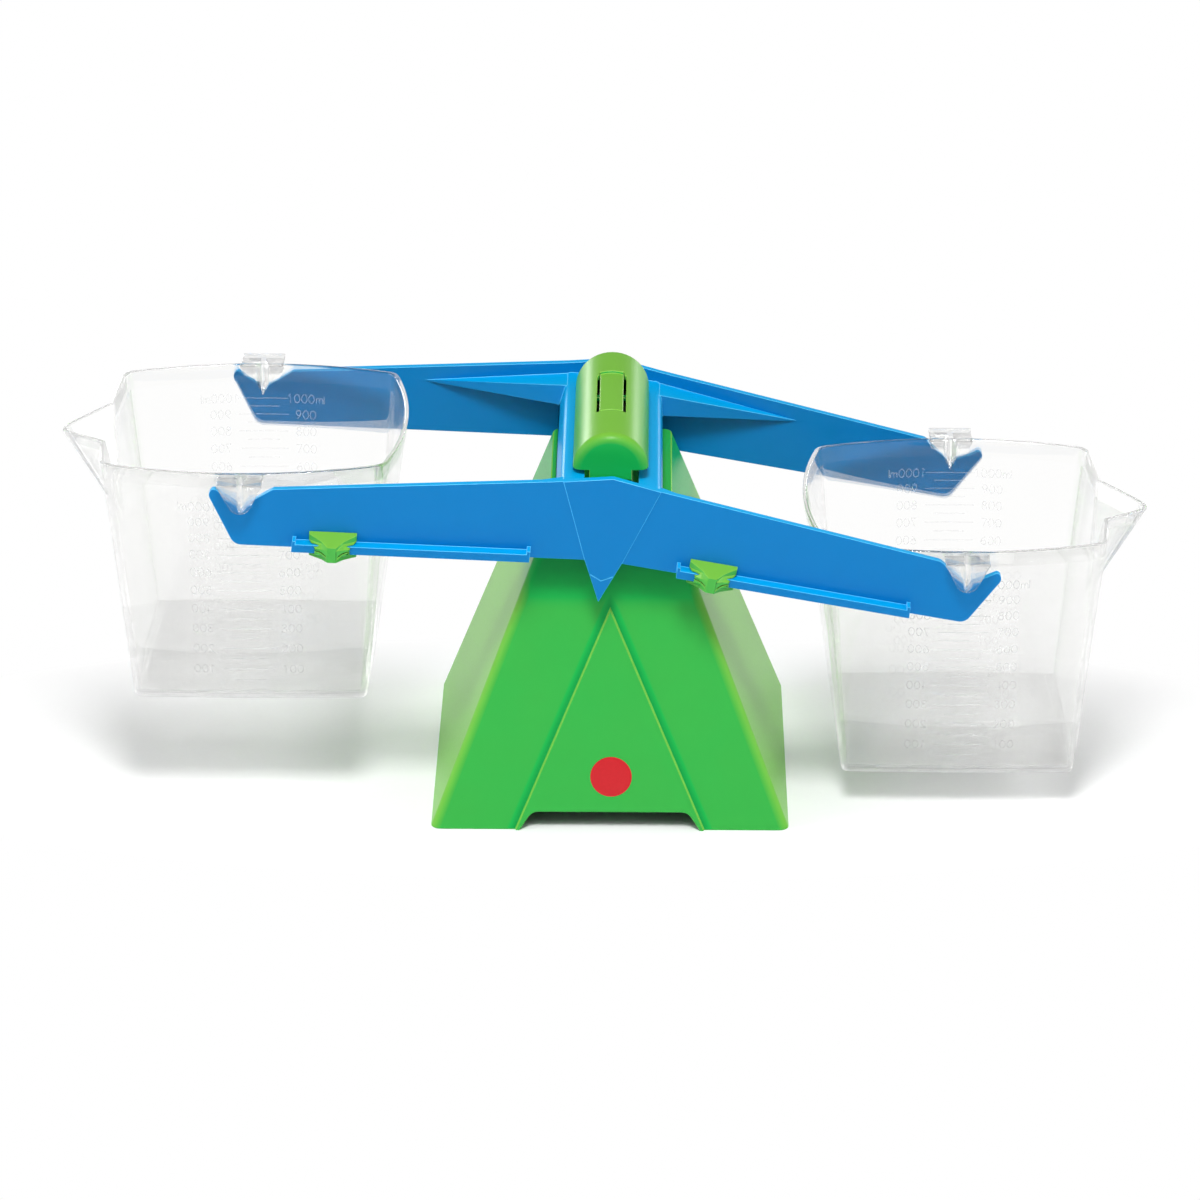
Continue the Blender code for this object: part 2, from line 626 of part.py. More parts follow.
def make_beam(look):
    """Two plates joined by the hub, with bosses, fairings, pointer panel and front rails."""
    outline = rounded_outline(plate_corners())
    beam = prism("beam", outline, -plate_outer_y, -PLATE_INNER_Y)
    rear = prism("rear_plate", outline, PLATE_INNER_Y, plate_outer_y)

    hub_y = PLATE_INNER_Y + PLATE_THICKNESS / 2
    inner_foot = HUB_FOOT_HALF_WIDTH - HUB_WALL
    inner_top = HUB_HALF_WIDTH - HUB_WALL
    hub_corners = [
        (-HUB_FOOT_HALF_WIDTH, HUB_FOOT_Z, 0), (-inner_foot, HUB_FOOT_Z, 0),
        (-inner_top, HUB_TOP_Z - HUB_WALL, HUB_WALL / 2), (inner_top, HUB_TOP_Z - HUB_WALL, HUB_WALL / 2),
        (inner_foot, HUB_FOOT_Z, 0), (HUB_FOOT_HALF_WIDTH, HUB_FOOT_Z, 0),
        (HUB_HALF_WIDTH, HUB_TOP_Z, HUB_ROUND), (-HUB_HALF_WIDTH, HUB_TOP_Z, HUB_ROUND),
    ]
    hub = prism("hub", rounded_outline(hub_corners), -hub_y, hub_y)
    deck_x = POST_HALF_WIDTH + HUB_CLEARANCE
    deck_y = cap_end_y + HUB_CLEARANCE
    carve(hub, box("deck_opening", (-deck_x, -deck_y, HUB_TOP_Z - HUB_WALL - OVERCUT),
                   (deck_x, deck_y, HUB_TOP_Z + OVERCUT), cutters))
    join(beam, hub, rear)
    for side in (-1, 1):
        for end in (-1, 1):
            join(beam, make_fairing(side, end))
    for end in (-1, 1):
        boss_y = sorted((end * (PLATE_INNER_Y - BOSS_LENGTH), end * hub_y))
        join(beam, rod("boss", BOSS_RADIUS, boss_y[0], boss_y[1]))

    pointer = [Vector((-PLATE_BREAK[0], PLATE_BREAK[1])), Vector(PLATE_APEX), Vector(PLATE_BREAK),
               Vector(PLATE_ROOT), Vector((0, POINTER_TIP_Z)), Vector((-PLATE_ROOT[0], PLATE_ROOT[1]))]
    kite = prism("pointer", pointer, -plate_outer_y - POINTER_PROUD, -plate_outer_y + PLATE_THICKNESS / 2)
    pointer_back = [Vector((-PLATE_ROOT[0], PLATE_ROOT[1])), Vector((0, PLATE_ROOT[1] + BOSS_RADIUS)),
                    Vector(PLATE_ROOT), Vector((0, POINTER_TIP_Z))]
    tongue = prism("pointer_back", pointer_back, -plate_outer_y + PLATE_THICKNESS / 4, -PLATE_INNER_Y)
    join(beam, kite, tongue, make_rail(-1), make_rail(1))

    carve(beam, rod("axle_bore", bore_radius, -PLATE_INNER_Y, PLATE_INNER_Y, home=cutters))
    half = CHEVRON_GROOVE / 2
    bends = [(-CHEVRON_HALF_WIDTH, CHEVRON_Z), (0, CHEVRON_Z - CHEVRON_DROP), (CHEVRON_HALF_WIDTH, CHEVRON_Z)]
    chevron = [Vector((x, z - half)) for x, z in bends] + [Vector((x, z + half)) for x, z in reversed(bends)]
    face_y = -plate_outer_y - POINTER_PROUD
    carve(beam, prism("chevron", chevron, face_y - OVERCUT, face_y + CHEVRON_GROOVE, "XZ", cutters))
    return finish(beam, look)


# Clips on the rails
def clip_section(z, spread):
    """Plan of the clip at a height; spread is 1 at its slab and foot, and 0 beside the rail."""
    back_y = -plate_outer_y - GAP
    front_y = -rail_front_y - GAP
    side_x = mix(CLIP_WAIST, CLIP_HALF_WIDTH, spread)
    side_y = mix(front_y - CLIP_WALL, back_y - CLIP_SIDE, spread)
    flank_y = front_y - mix(CLIP_NOSE_REACH / 2, 0, spread)
    half = [(side_x, back_y, 0), (side_x, side_y, CLIP_ROUND), (CLIP_FLANK, flank_y, 4 * CLIP_ROUND),
            (CLIP_NOSE, front_y - CLIP_NOSE_REACH, CLIP_ROUND)]
    corners = half + [(-x, y, radius) for x, y, radius in reversed(half)]
    return [(point.x, point.y, z) for point in rounded_outline(corners)]


def clip_slit(side):
    """Curved slit from the rail opening down into one flank."""
    start = Vector((CLIP_WAIST + CLIP_ROUND, RAIL_HEIGHT / 2))
    bend = Vector(((CLIP_WAIST + CLIP_NOSE) / 2, RAIL_HEIGHT / 2))
    end = Vector((1.4 * CLIP_NOSE, 0))
    line = []
    for step in range(CORNER_STEPS + 1):
        share = step / CORNER_STEPS
        line.append(start.lerp(bend, share).lerp(bend.lerp(end, share), share))
    above = [(side * x, z + CLIP_SLIT / 2) for x, z in line]
    below = [(side * x, z - CLIP_SLIT / 2) for x, z in reversed(line)]
    return prism("slit", above + below, -rail_front_y - OVERCUT, -rail_front_y, "XZ", cutters)


def make_clip(name, look):
    """Sliding clip about the middle of its rail's foot: slab, waist, foot and a lip behind the plate."""
    rail_top = RAIL_HEIGHT + GAP
    levels = [(-CLIP_FOOT - GAP, 1), (-CLIP_FOOT / 2 - GAP, 1), (GAP, 0), (RAIL_HEIGHT - CLIP_ROUND, 0),
              (rail_top + CLIP_ROUND, 1), (rail_top + CLIP_RISE, 1)]
    clip = loft(name, [clip_section(z, spread) for z, spread in levels])
    back_y = -plate_outer_y - GAP
    fall = CLIP_SLOPE / (RAIL_PROUD + CLIP_NOSE_REACH)
    crown_z = rail_top + CLIP_RISE
    far_y = back_y - 2 * OVERCUT
    slope_view = [Vector((back_y + OVERCUT, crown_z)), Vector((back_y, crown_z)),
                  Vector((far_y, crown_z - 2 * OVERCUT * fall)), Vector((far_y, crown_z + OVERCUT)),
                  Vector((back_y + OVERCUT, crown_z + OVERCUT))]
    slope = prism("slope", slope_view, -2 * CLIP_HALF_WIDTH, 2 * CLIP_HALF_WIDTH, "YZ", cutters)
    channel = box("channel", (-2 * CLIP_HALF_WIDTH, -rail_front_y - GAP, -GAP),
                  (2 * CLIP_HALF_WIDTH, -PLATE_INNER_Y, rail_top), cutters)
    carve(clip, slope, channel, clip_slit(-1), clip_slit(1))
    lip_y = -PLATE_INNER_Y + GAP
    foot_y = back_y - CLIP_FOOT
    foot_z = -CLIP_FOOT - GAP
    hook = [Vector((foot_y, foot_z + GAP)), Vector((lip_y + CLIP_LIP, foot_z + GAP)),
            Vector((lip_y + CLIP_LIP, CLIP_LIP)), Vector((lip_y, CLIP_LIP)), Vector((lip_y, -GAP)),
            Vector((foot_y, -GAP))]
    join(clip, prism("lip", hook, -CLIP_WAIST, CLIP_WAIST, "YZ"))
    return finish(clip, look)


# Buckets
def bucket_outline(z):
    """Plan of a bucket's outer wall at a height, anticlockwise from the spout's near root."""
    rise = (z - bucket_floor_z) / BUCKET_HEIGHT
    half_x = mix(BUCKET_FLOOR_HALF_X, BUCKET_RIM_HALF_X, rise)
    half_y = mix(BUCKET_FLOOR_HALF_Y, bucket_rim_half_y, rise)
    long_bow = mix(BUCKET_FLOOR_BOW, BUCKET_RIM_BOW, rise)
    hub_bow = mix(BUCKET_FLOOR_BOW, BUCKET_HUB_BOW, rise)
    spout_bow = mix(BUCKET_FLOOR_BOW, BUCKET_SPOUT_BOW, rise)
    corner = mix(BUCKET_FLOOR_CORNER, BUCKET_RIM_CORNER, rise)
    fade = min(1.0, max(0.0, 1 - (BUCKET_RIM_Z - z) / SPOUT_DEPTH))
    blunt = 0.5 * GAP
    root_x = half_x + spout_bow * (1 - (SPOUT_HALF_WIDTH * fade / half_y) ** 2)
    tip_x = half_x + spout_bow + SPOUT_REACH * fade
    shoulder_x = mix(root_x, tip_x, 1 - SPOUT_TIP_HALF_WIDTH / SPOUT_HALF_WIDTH / 1.5)
    shoulder_y = SPOUT_TIP_HALF_WIDTH * fade + blunt
    root_y = SPOUT_HALF_WIDTH * fade + 2 * blunt
    corners = [(root_x, -root_y, 0), (shoulder_x, -shoulder_y, 0), (tip_x, 0, 0), (shoulder_x, shoulder_y, 0),
               (root_x, root_y, 0), (half_x, half_y, corner)]
    shares = [1 - 2 * step / SIDE_STEPS for step in range(1, SIDE_STEPS)]
    corners += [(half_x * share, half_y + long_bow * (1 - share ** 2), 0) for share in shares]
    corners += [(-half_x, half_y, corner)]
    corners += [(-half_x - hub_bow * (1 - share ** 2), half_y * share, 0) for share in shares]
    corners += [(-half_x, -half_y, corner)]
    corners += [(-half_x * share, -half_y - long_bow * (1 - share ** 2), 0) for share in shares]
    corners += [(half_x, -half_y, corner)]
    return rounded_outline(corners)


def inset_outline(points, distance):
    """Move an anticlockwise outline inwards."""
    moved = []
    for index, point in enumerate(points):
        before = (point - points[index - 1]).normalized()
        after = (points[(index + 1) % len(points)] - point).normalized()
        first = Vector((-before.y, before.x))
        second = Vector((-after.y, after.x))
        moved.append(point + (first + second) * (distance / (1 + first.dot(second))))
    return moved


def rim_drop(point):
    """How far the rim dips at a point of the rim outline, towards the spout."""
    straight_y = bucket_rim_half_y - BUCKET_RIM_CORNER
    if point.x < BUCKET_RIM_HALF_X - BUCKET_RIM_CORNER or abs(point.y) > straight_y:
        return 0.0
    root_x = BUCKET_RIM_HALF_X + BUCKET_SPOUT_BOW
    if abs(point.y) > SPOUT_HALF_WIDTH:
        return SPOUT_ROOT_DROP * (straight_y - abs(point.y)) / (straight_y - SPOUT_HALF_WIDTH)
    out = min(1.0, max(0.0, (point.x - root_x) / SPOUT_REACH))
    return mix(SPOUT_ROOT_DROP, SPOUT_TIP_DROP, out)


def level_ring(z, inset, side):
    """One flat ring of the bucket."""
    return [(side * point.x, point.y, z) for point in inset_outline(bucket_outline(z), inset)]


def dipped_ring(inset, side):
    """The rim's ring, which dips towards the spout along the wall's own slope."""
    spout_z = BUCKET_RIM_Z - SPOUT_DEPTH
    rim = bucket_outline(BUCKET_RIM_Z)
    high = inset_outline(rim, inset)
    low = inset_outline(bucket_outline(spout_z), inset)
    ring = []
    for outer, upper, lower in zip(rim, high, low):
        drop = rim_drop(outer)
        point = upper.lerp(lower, drop / SPOUT_DEPTH)
        ring.append((side * point.x, point.y, BUCKET_RIM_Z - drop))
    return ring


def make_lug(side, end):
    """Hanger lug: tab at the rim, skirt outside the beam plate and knife fin between; end is -1 or 1."""
    tab_y = sorted((end * bucket_rim_half_y, end * skirt_outer_y))
    tab = box("lug", (-TAB_HALF_WIDTH, tab_y[0], BUCKET_RIM_Z - TAB_THICKNESS),
              (TAB_HALF_WIDTH, tab_y[1], BUCKET_RIM_Z))
    foot_z = BUCKET_RIM_Z - SKIRT_DEPTH
    edge_z = BUCKET_RIM_Z - SKIRT_EDGE
    skirt_corners = [(-TAB_HALF_WIDTH, BUCKET_RIM_Z - GAP, 0), (-TAB_HALF_WIDTH, edge_z, 0),
                     (0, foot_z - SKIRT_ROUND / 2, SKIRT_ROUND), (TAB_HALF_WIDTH, edge_z, 0),
                     (TAB_HALF_WIDTH, BUCKET_RIM_Z - GAP, 0)]
    skirt_y = sorted((end * skirt_inner_y, end * skirt_outer_y))
    skirt = prism("skirt", rounded_outline(skirt_corners), skirt_y[0], skirt_y[1])
    fin_outline = [Vector((0, 0)), Vector((FIN_EDGE_HALF_WIDTH, FIN_EDGE_HEIGHT)),
                   Vector((FIN_HALF_WIDTH, FIN_TAPER_HEIGHT)), Vector((FIN_HALF_WIDTH, BUCKET_RIM_Z - GAP)),
                   Vector((-FIN_HALF_WIDTH, BUCKET_RIM_Z - GAP)), Vector((-FIN_HALF_WIDTH, FIN_TAPER_HEIGHT)),
                   Vector((-FIN_EDGE_HALF_WIDTH, FIN_EDGE_HEIGHT))]
    fin_y = sorted((end * bucket_rim_half_y, end * (skirt_inner_y + SKIRT_THICKNESS / 2)))
    fin = prism("fin", fin_outline, fin_y[0], fin_y[1])
    join(tab, skirt, fin)
    middle = [level_ring(z, BUCKET_WALL / 2, side) for z in (bucket_floor_z, BUCKET_RIM_Z)]
    middle.append([(x, y, z + OVERCUT) for x, y, z in middle[-1]])
    carve(tab, loft("wall_middle", middle, cutters))
    return tab


def make_bucket(name, side, look):
    """Clear bucket in one moulding, its spout towards side."""
    soft = BUCKET_FLOOR_ROUND
    spout_z = BUCKET_RIM_Z - SPOUT_DEPTH
    part_round = ROUND_SHARE * soft
    outer = [level_ring(bucket_floor_z, soft, side),
             level_ring(bucket_floor_z + part_round, part_round, side),
             level_ring(bucket_floor_z + soft, 0, side), level_ring(spout_z, 0, side), dipped_ring(0, side)]
    inside_z = bucket_floor_z + BUCKET_WALL
    inner = [dipped_ring(BUCKET_WALL, side), level_ring(spout_z, BUCKET_WALL, side),
             level_ring(inside_z + soft, BUCKET_WALL, side),
             level_ring(inside_z + part_round, BUCKET_WALL + part_round, side),
             level_ring(inside_z, BUCKET_WALL + soft, side)]
    bucket = loft(name, outer + inner)
    join(bucket, make_lug(side, -1), make_lug(side, 1))
    return finish(bucket, look, math.radians(25))


def place(piece, parent, location, turn=0.0):
    """Hang a piece under an empty, turned about Y."""
    piece.parent = parent
    piece.location = location
    piece.rotation_euler = (0, turn, 0)


for old in list(bpy.data.objects):
    bpy.data.objects.remove(old)
parts = collection(OBJECT_NAME)
cutters = collection("cutters")

stand_green = material("stand_green", (0.053, 0.479, 0.069), 0.42)
lime_green = material("lime_green", (0.190, 0.547, 0.053), 0.38)
beam_blue = material("beam_blue", (0.0, 0.235, 0.597), 0.40)
clear_plastic = material("clear_plastic", (0.90, 0.92, 0.94), 0.05, 0.25)
bearing_plastic = material("bearing_plastic", (0.80, 0.80, 0.78), 0.45)
axle_steel = material("axle_steel", (0.62, 0.62, 0.63), 0.25)
axle_steel.node_tree.nodes["Principled BSDF"].inputs["Metallic"].default_value = 1.0

beam_axis = bpy.data.objects.new("beam_axis", None)
beam_axis.location = (0, 0, pivot_z)
beam_axis.rotation_euler = (0, BEAM_TILT, 0)
parts.objects.link(beam_axis)

make_base(stand_green)
make_bearing("bearing_front", -1, bearing_plastic)
make_bearing("bearing_rear", 1, bearing_plastic)
make_cap(lime_green)
make_latch(lime_green)
place(make_axle(axle_steel), beam_axis, (0, 0, 0))
place(make_beam(beam_blue), beam_axis, (0, 0, 0))
for clip_name, clip_x in (("compensator_left", clip_left_x), ("compensator_right", CLIP_RIGHT_X)):
    rail_foot = PLATE_ROOT[1] - (abs(clip_x) - PLATE_ROOT[0]) * math.tan(rail_angle)
    slant = math.copysign(rail_angle, clip_x)
    place(make_clip(clip_name, lime_green), beam_axis, (clip_x, 0, rail_foot), slant)
for bucket_name, bucket_side in (("bucket_left", -1), ("bucket_right", 1)):
    hanging = make_bucket(bucket_name, bucket_side, clear_plastic)
    place(hanging, beam_axis, (bucket_side * HANG_X, 0, HANG_Z), -BEAM_TILT)
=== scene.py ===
"""Bucket balance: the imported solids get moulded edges, their plastics and the raised marks.

Metres, +Z up, the pointer's side towards -Y. Every piece's object stays at the origin, with its
place in its mesh.
"""

import json
import math

import bmesh
import bpy
from mathutils import Matrix, Vector
from mathutils.bvhtree import BVHTree


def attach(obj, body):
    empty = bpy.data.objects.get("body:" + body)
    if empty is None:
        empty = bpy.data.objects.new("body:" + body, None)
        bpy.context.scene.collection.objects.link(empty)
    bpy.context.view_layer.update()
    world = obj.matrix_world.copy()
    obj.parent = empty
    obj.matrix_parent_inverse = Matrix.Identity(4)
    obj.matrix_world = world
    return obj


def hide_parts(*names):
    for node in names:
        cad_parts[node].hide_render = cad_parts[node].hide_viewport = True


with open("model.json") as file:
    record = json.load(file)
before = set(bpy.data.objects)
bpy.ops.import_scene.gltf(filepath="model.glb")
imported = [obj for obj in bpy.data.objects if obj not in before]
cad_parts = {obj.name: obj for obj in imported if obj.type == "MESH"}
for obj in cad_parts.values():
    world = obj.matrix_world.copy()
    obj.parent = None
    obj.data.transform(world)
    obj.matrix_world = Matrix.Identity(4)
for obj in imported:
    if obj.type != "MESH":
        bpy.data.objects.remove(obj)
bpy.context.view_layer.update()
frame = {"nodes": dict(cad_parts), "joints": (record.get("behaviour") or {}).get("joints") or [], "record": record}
record = frame["record"]
scene = bpy.context.scene

# Camera, fitted to the photograph's straight edges, for a square frame
CAMERA_AIM = Vector((-0.004965, 0.0, 0.075045))
CAMERA_TURN = math.radians(0.6206)
CAMERA_RISE = math.radians(25)
CAMERA_REACH = 2.11556
CAMERA_LENS = 145.37
CAMERA_SENSOR = 36.0
CAMERA_SIGHT = 50.0

# Buckets, from their hang point, as the solids have them: x runs towards the spout
RIM_Z = 0.0142
FLOOR_Z = -0.0958
BUCKET_WALL = 0.0018
RIM_HALF = (0.0600, 0.0515)
FLOOR_HALF = (0.0500, 0.0500)
# How far the sides, the end at the hub and the end at the spout bow out at the rim
RIM_BOWS = (0.0100, 0.0074, 0.0038)
FLOOR_BOW = 0.0010
RIM_CORNER = 0.0075
FLOOR_CORNER = 0.0035
# How far a wall's points keep from its corner, in corner radii
CORNER_CLEAR = 1.2
FLOOR_ROUND = 0.0020
EDGE_ROUND = 0.0006
SPOUT_FOOT_Z = -0.0318
SPOUT_HALF = 0.0221
SPOUT_REACH = 0.0221
# How far the rim dips at the spout's roots and at its tip
SPOUT_DROPS = (0.0023, 0.0054)
SPOUT_BLUNT = 0.14
SPOUT_LEAST = 0.00036
# Steps along half the spout, along a wall, up a wall, round an edge and round a corner
SPOUT_STEPS = 14
SIDE_STEPS = 28
CLIMB_STEPS = 6
ROUND_STEPS = 4
CORNER_STEPS = 10

# Hanger lugs: their top lies just under the rim
LUG_HALF = 0.0094
LUG_THICKNESS = 0.0015
LUG_SINK = 0.00018
SKIRT_Y = (0.0712, 0.0732)
SKIRT_DEPTH = 0.0172
SKIRT_POINT = 0.0025
SKIRT_ROUND = 0.0050
# Right half of the fin's outline, from its knife edge up
FIN_SHAPE = ((0.0, 0.0), (0.0007, 0.0016), (0.00115, 0.0045))
# How far a cutter reaches past what it cuts
CUTTER_PAST = 0.0075

# Bucket marks: one every 50 ml up to the full mark, a number at every second one
MARK_ML = 50
FULL_MARK = 20
MARK_SPAN = range(1, FULL_MARK + 1)
MARK_FOOT = -0.09105
MARK_STEP = 0.010675
MARK_SHRINK = 0.000175
LONG_MARK = 0.0220
SHORT_MARK = 0.0140
MARK_THICK = 0.00030
MARK_PROUD = 0.00018
MARK_CUTS = {"Vertices X": 24, "Vertices Y": 2, "Vertices Z": 3}
NUMBER_START = 0.0145
NUMBER_HEIGHT = 0.0038
NUMBER_PITCH = 0.0032
NUMBER_STROKE = 0.00022
NUMBER_ROUND = 1
NUMBER_STEPS = 4
# Where the full mark's longer text starts
FULL_START = 0.0108

# Stand: its raised front panel, the width of the painted shade at the panel's foot, and the heights between which
# painted shade for the beam's shadow darkens it
PANEL_HEIGHT = 0.0970
PANEL_HALF_WIDTH = 0.0405
PANEL_EDGE = 0.0003
PANEL_FOOT_PAINTED_SHADE = 0.0045
BEAM_PAINTED_SHADE_Z = (0.096, 0.118)

# Disc on the stand's front panel; its rings' reach and rise are shares of its radius and film
DISC_RADIUS = 0.0089
DISC_PLACE = (0.0005, 0.0240)
DISC_PROUD = 0.00012
DISC_RINGS = ((1.0, 0.0), (1.0, 0.6), (0.985, 0.9), (0.96, 1.0))
DISC_STEPS = 72

# Rounding of the mouldings' sharp edges, by node
EDGE_ROUNDS = {"base_shell": 0.0004, "beam": 0.00018, "cap": 0.0003, "cap_latch": 0.0003,
               "pivot_axle": 0.0003, "compensator_left": 0.0001, "compensator_right": 0.0001}
OTHER_EDGE_ROUND = 0.0002
EDGE_STEPS = 2
# Place of a piece's second material, the one of its edges
EDGE_LOOK = 1

# Angles in degrees: edges that stay sharp in the shading, edges that are rounded, and the turn
# below which the faces of a solid are one flat face again
SHARP_EDGE = 50
SHARP_BUCKET_EDGE = 35
SHARP_DISC_EDGE = 40
ROUNDED_EDGE = 30
ROUNDED_SLAB_EDGE = 25
FLAT_TURN = 0.3
# Points of a solid closer than this are one point
MERGE_REACH = 0.000002

# Painted light and shade of the moulded plastics: stops of the four colours, from shaded to lit, and the leans
# that they run between
LIT_AND_SHADED_STOPS = (0.10, 0.50, 0.60, 0.96)
PAINTED_LIGHT_LEANS = (-0.97, 1.03)
# How much painted light a sideways tilt adds to a face, against an upward one: on flat pieces, on round ones
SIDE_PAINTED_LIGHT = 0.55
ROUND_SIDE_PAINTED_LIGHT = 0.05
# How much painted shade darkens a face where less light comes in, and how much the melt's flow marks vary its
# colour
PAINTED_SHADE_STRENGTH = 0.9
FLOW_TONE = 0.06
# How far the roughness spreads over the grain, and how much of the plastics' glint shows
GLOSS_SPREAD = 0.05
ABS_GLINT = 0.15
# Lighter colours of the lime pieces' edges: painted highlights
LIME_EDGE_HIGHLIGHTS = ("#2FAE4C", "#54B649", "#74BE48", "#8CC850")

STYRENE_IOR = 1.57
# How strongly the clear walls, their rims and the frosted marks show
WALL_SHOWS = 0.44
RIM_SHOWS = 0.9
MARKS_SHOW = 0.16

# Sizes of the patterns in the finishes, in millimetres
FLOW_MM = 26.0
GRAIN_MM = 0.9
WAVE_MM = 30.0
FROST_MM = 0.5
DRAW_LINE_MM = 0.3
FILM_MM = 1.2
FIBRE_MM = 2.0

# Studio: the dimmer room's level, where the white sweep behind lies (Y, then Z), where the floor
# turns pure white around the object, and how much sooner it does so in depth
WORLD_LIGHT = 0.20
SWEEP_BEHIND = (-0.2, 0.6)
SWEEP_LOW = (0.02, 0.22)
FLOOR_CLEARS = (0.23, 0.36)
FLOOR_DEPTH = 3.0
FLOOR_REACH = 6.0
# Soft lights: name, place, height of the aim, size, power
LIGHTS = (
    ("key_light", (0.0, -0.72, 1.34), 0.08, (0.35, 0.35), 15),
    ("front_light", (-0.2, -1.25, 1.45), 0.08, (1.2, 0.4), 3),
    ("side_light", (-1.5, -0.3, 0.7), 0.08, (0.9, 0.9), 9),
    ("rear_light", (-0.85, 1.35, 0.40), 0.1, (0.5, 0.3), 5.5),
    ("side_light", (1.5, -0.3, 0.7), 0.08, (0.9, 0.9), 9),
    ("rear_light", (0.85, 1.35, 0.40), 0.1, (0.5, 0.3), 2.8),
)


def linear(hex_colour):
    """Turn an sRGB hex colour into linear RGBA."""
    channels = [int(hex_colour[i:i + 2], 16) / 255 for i in (1, 3, 5)]
    return (*[c / 12.92 if c <= 0.04045 else ((c + 0.055) / 1.055) ** 2.4 for c in channels], 1.0)


def pattern_scale(size_mm):
    """Scale of a pattern whose features are about so many millimetres apart."""
    return 1000 / size_mm


def add(tree, kind, inputs=None, **settings):
    """Add a node with its settings; an input is a value or the socket that feeds it."""
    made = tree.nodes.new(kind)
    for name, value in settings.items():
        setattr(made, name, value)
    for key, value in (inputs or {}).items():
        if isinstance(value, bpy.types.NodeSocket):
            tree.links.new(value, made.inputs[key])
        else:
            made.inputs[key].default_value = value
    return made


def new_material(name):
    """Return an empty node material and its tree."""
    made = bpy.data.materials.new(name)
    made.use_nodes = True
    made.node_tree.nodes.clear()
    return made, made.node_tree


# Finishes
def stand_painted_shade(tree, place):
    """From 0 to 1 where painted shade darkens the stand's green: beside its panel, and up under the beam."""
    spot = add(tree, "ShaderNodeSeparateXYZ", {"Vector": place})
    across = add(tree, "ShaderNodeMath", {0: spot.outputs["X"]}, operation="ABSOLUTE")
    slanted = add(tree, "ShaderNodeMath", {
        0: spot.outputs["Z"], 1: PANEL_HALF_WIDTH / PANEL_HEIGHT, 2: across.outputs["Value"]},
        operation="MULTIPLY_ADD")
    past_edge = add(tree, "ShaderNodeMapRange", {
        "Value": slanted.outputs["Value"],
        "From Min": PANEL_HALF_WIDTH, "From Max": PANEL_HALF_WIDTH + PANEL_EDGE})
    foot = add(tree, "ShaderNodeMapRange", {
        "Value": slanted.outputs["Value"],
        "From Min": PANEL_HALF_WIDTH, "From Max": PANEL_HALF_WIDTH + PANEL_FOOT_PAINTED_SHADE,
        "To Min": 1.0, "To Max": 0.0}, interpolation_type="SMOOTHSTEP")
    foot_painted_shade_all_round = add(tree, "ShaderNodeMath", {0: past_edge.outputs["Result"], 1: foot.outputs["Result"]},
               operation="MULTIPLY")
    front = add(tree, "ShaderNodeMath", {0: spot.outputs["Y"], 1: 0.0}, operation="LESS_THAN")
    panel_foot_painted_shade = add(tree, "ShaderNodeMath", {0: foot_painted_shade_all_round.outputs["Value"], 1: front.outputs["Value"]},
                     operation="MULTIPLY")
    high = add(tree, "ShaderNodeMapRange", {
        "Value": spot.outputs["Z"], "From Min": BEAM_PAINTED_SHADE_Z[0], "From Max": BEAM_PAINTED_SHADE_Z[1]},
        interpolation_type="SMOOTHSTEP")
    painted_shade_mask = add(tree, "ShaderNodeMath", {
        0: panel_foot_painted_shade.outputs["Value"], 1: high.outputs["Result"]}, operation="MAXIMUM")
    return painted_shade_mask.outputs["Value"]


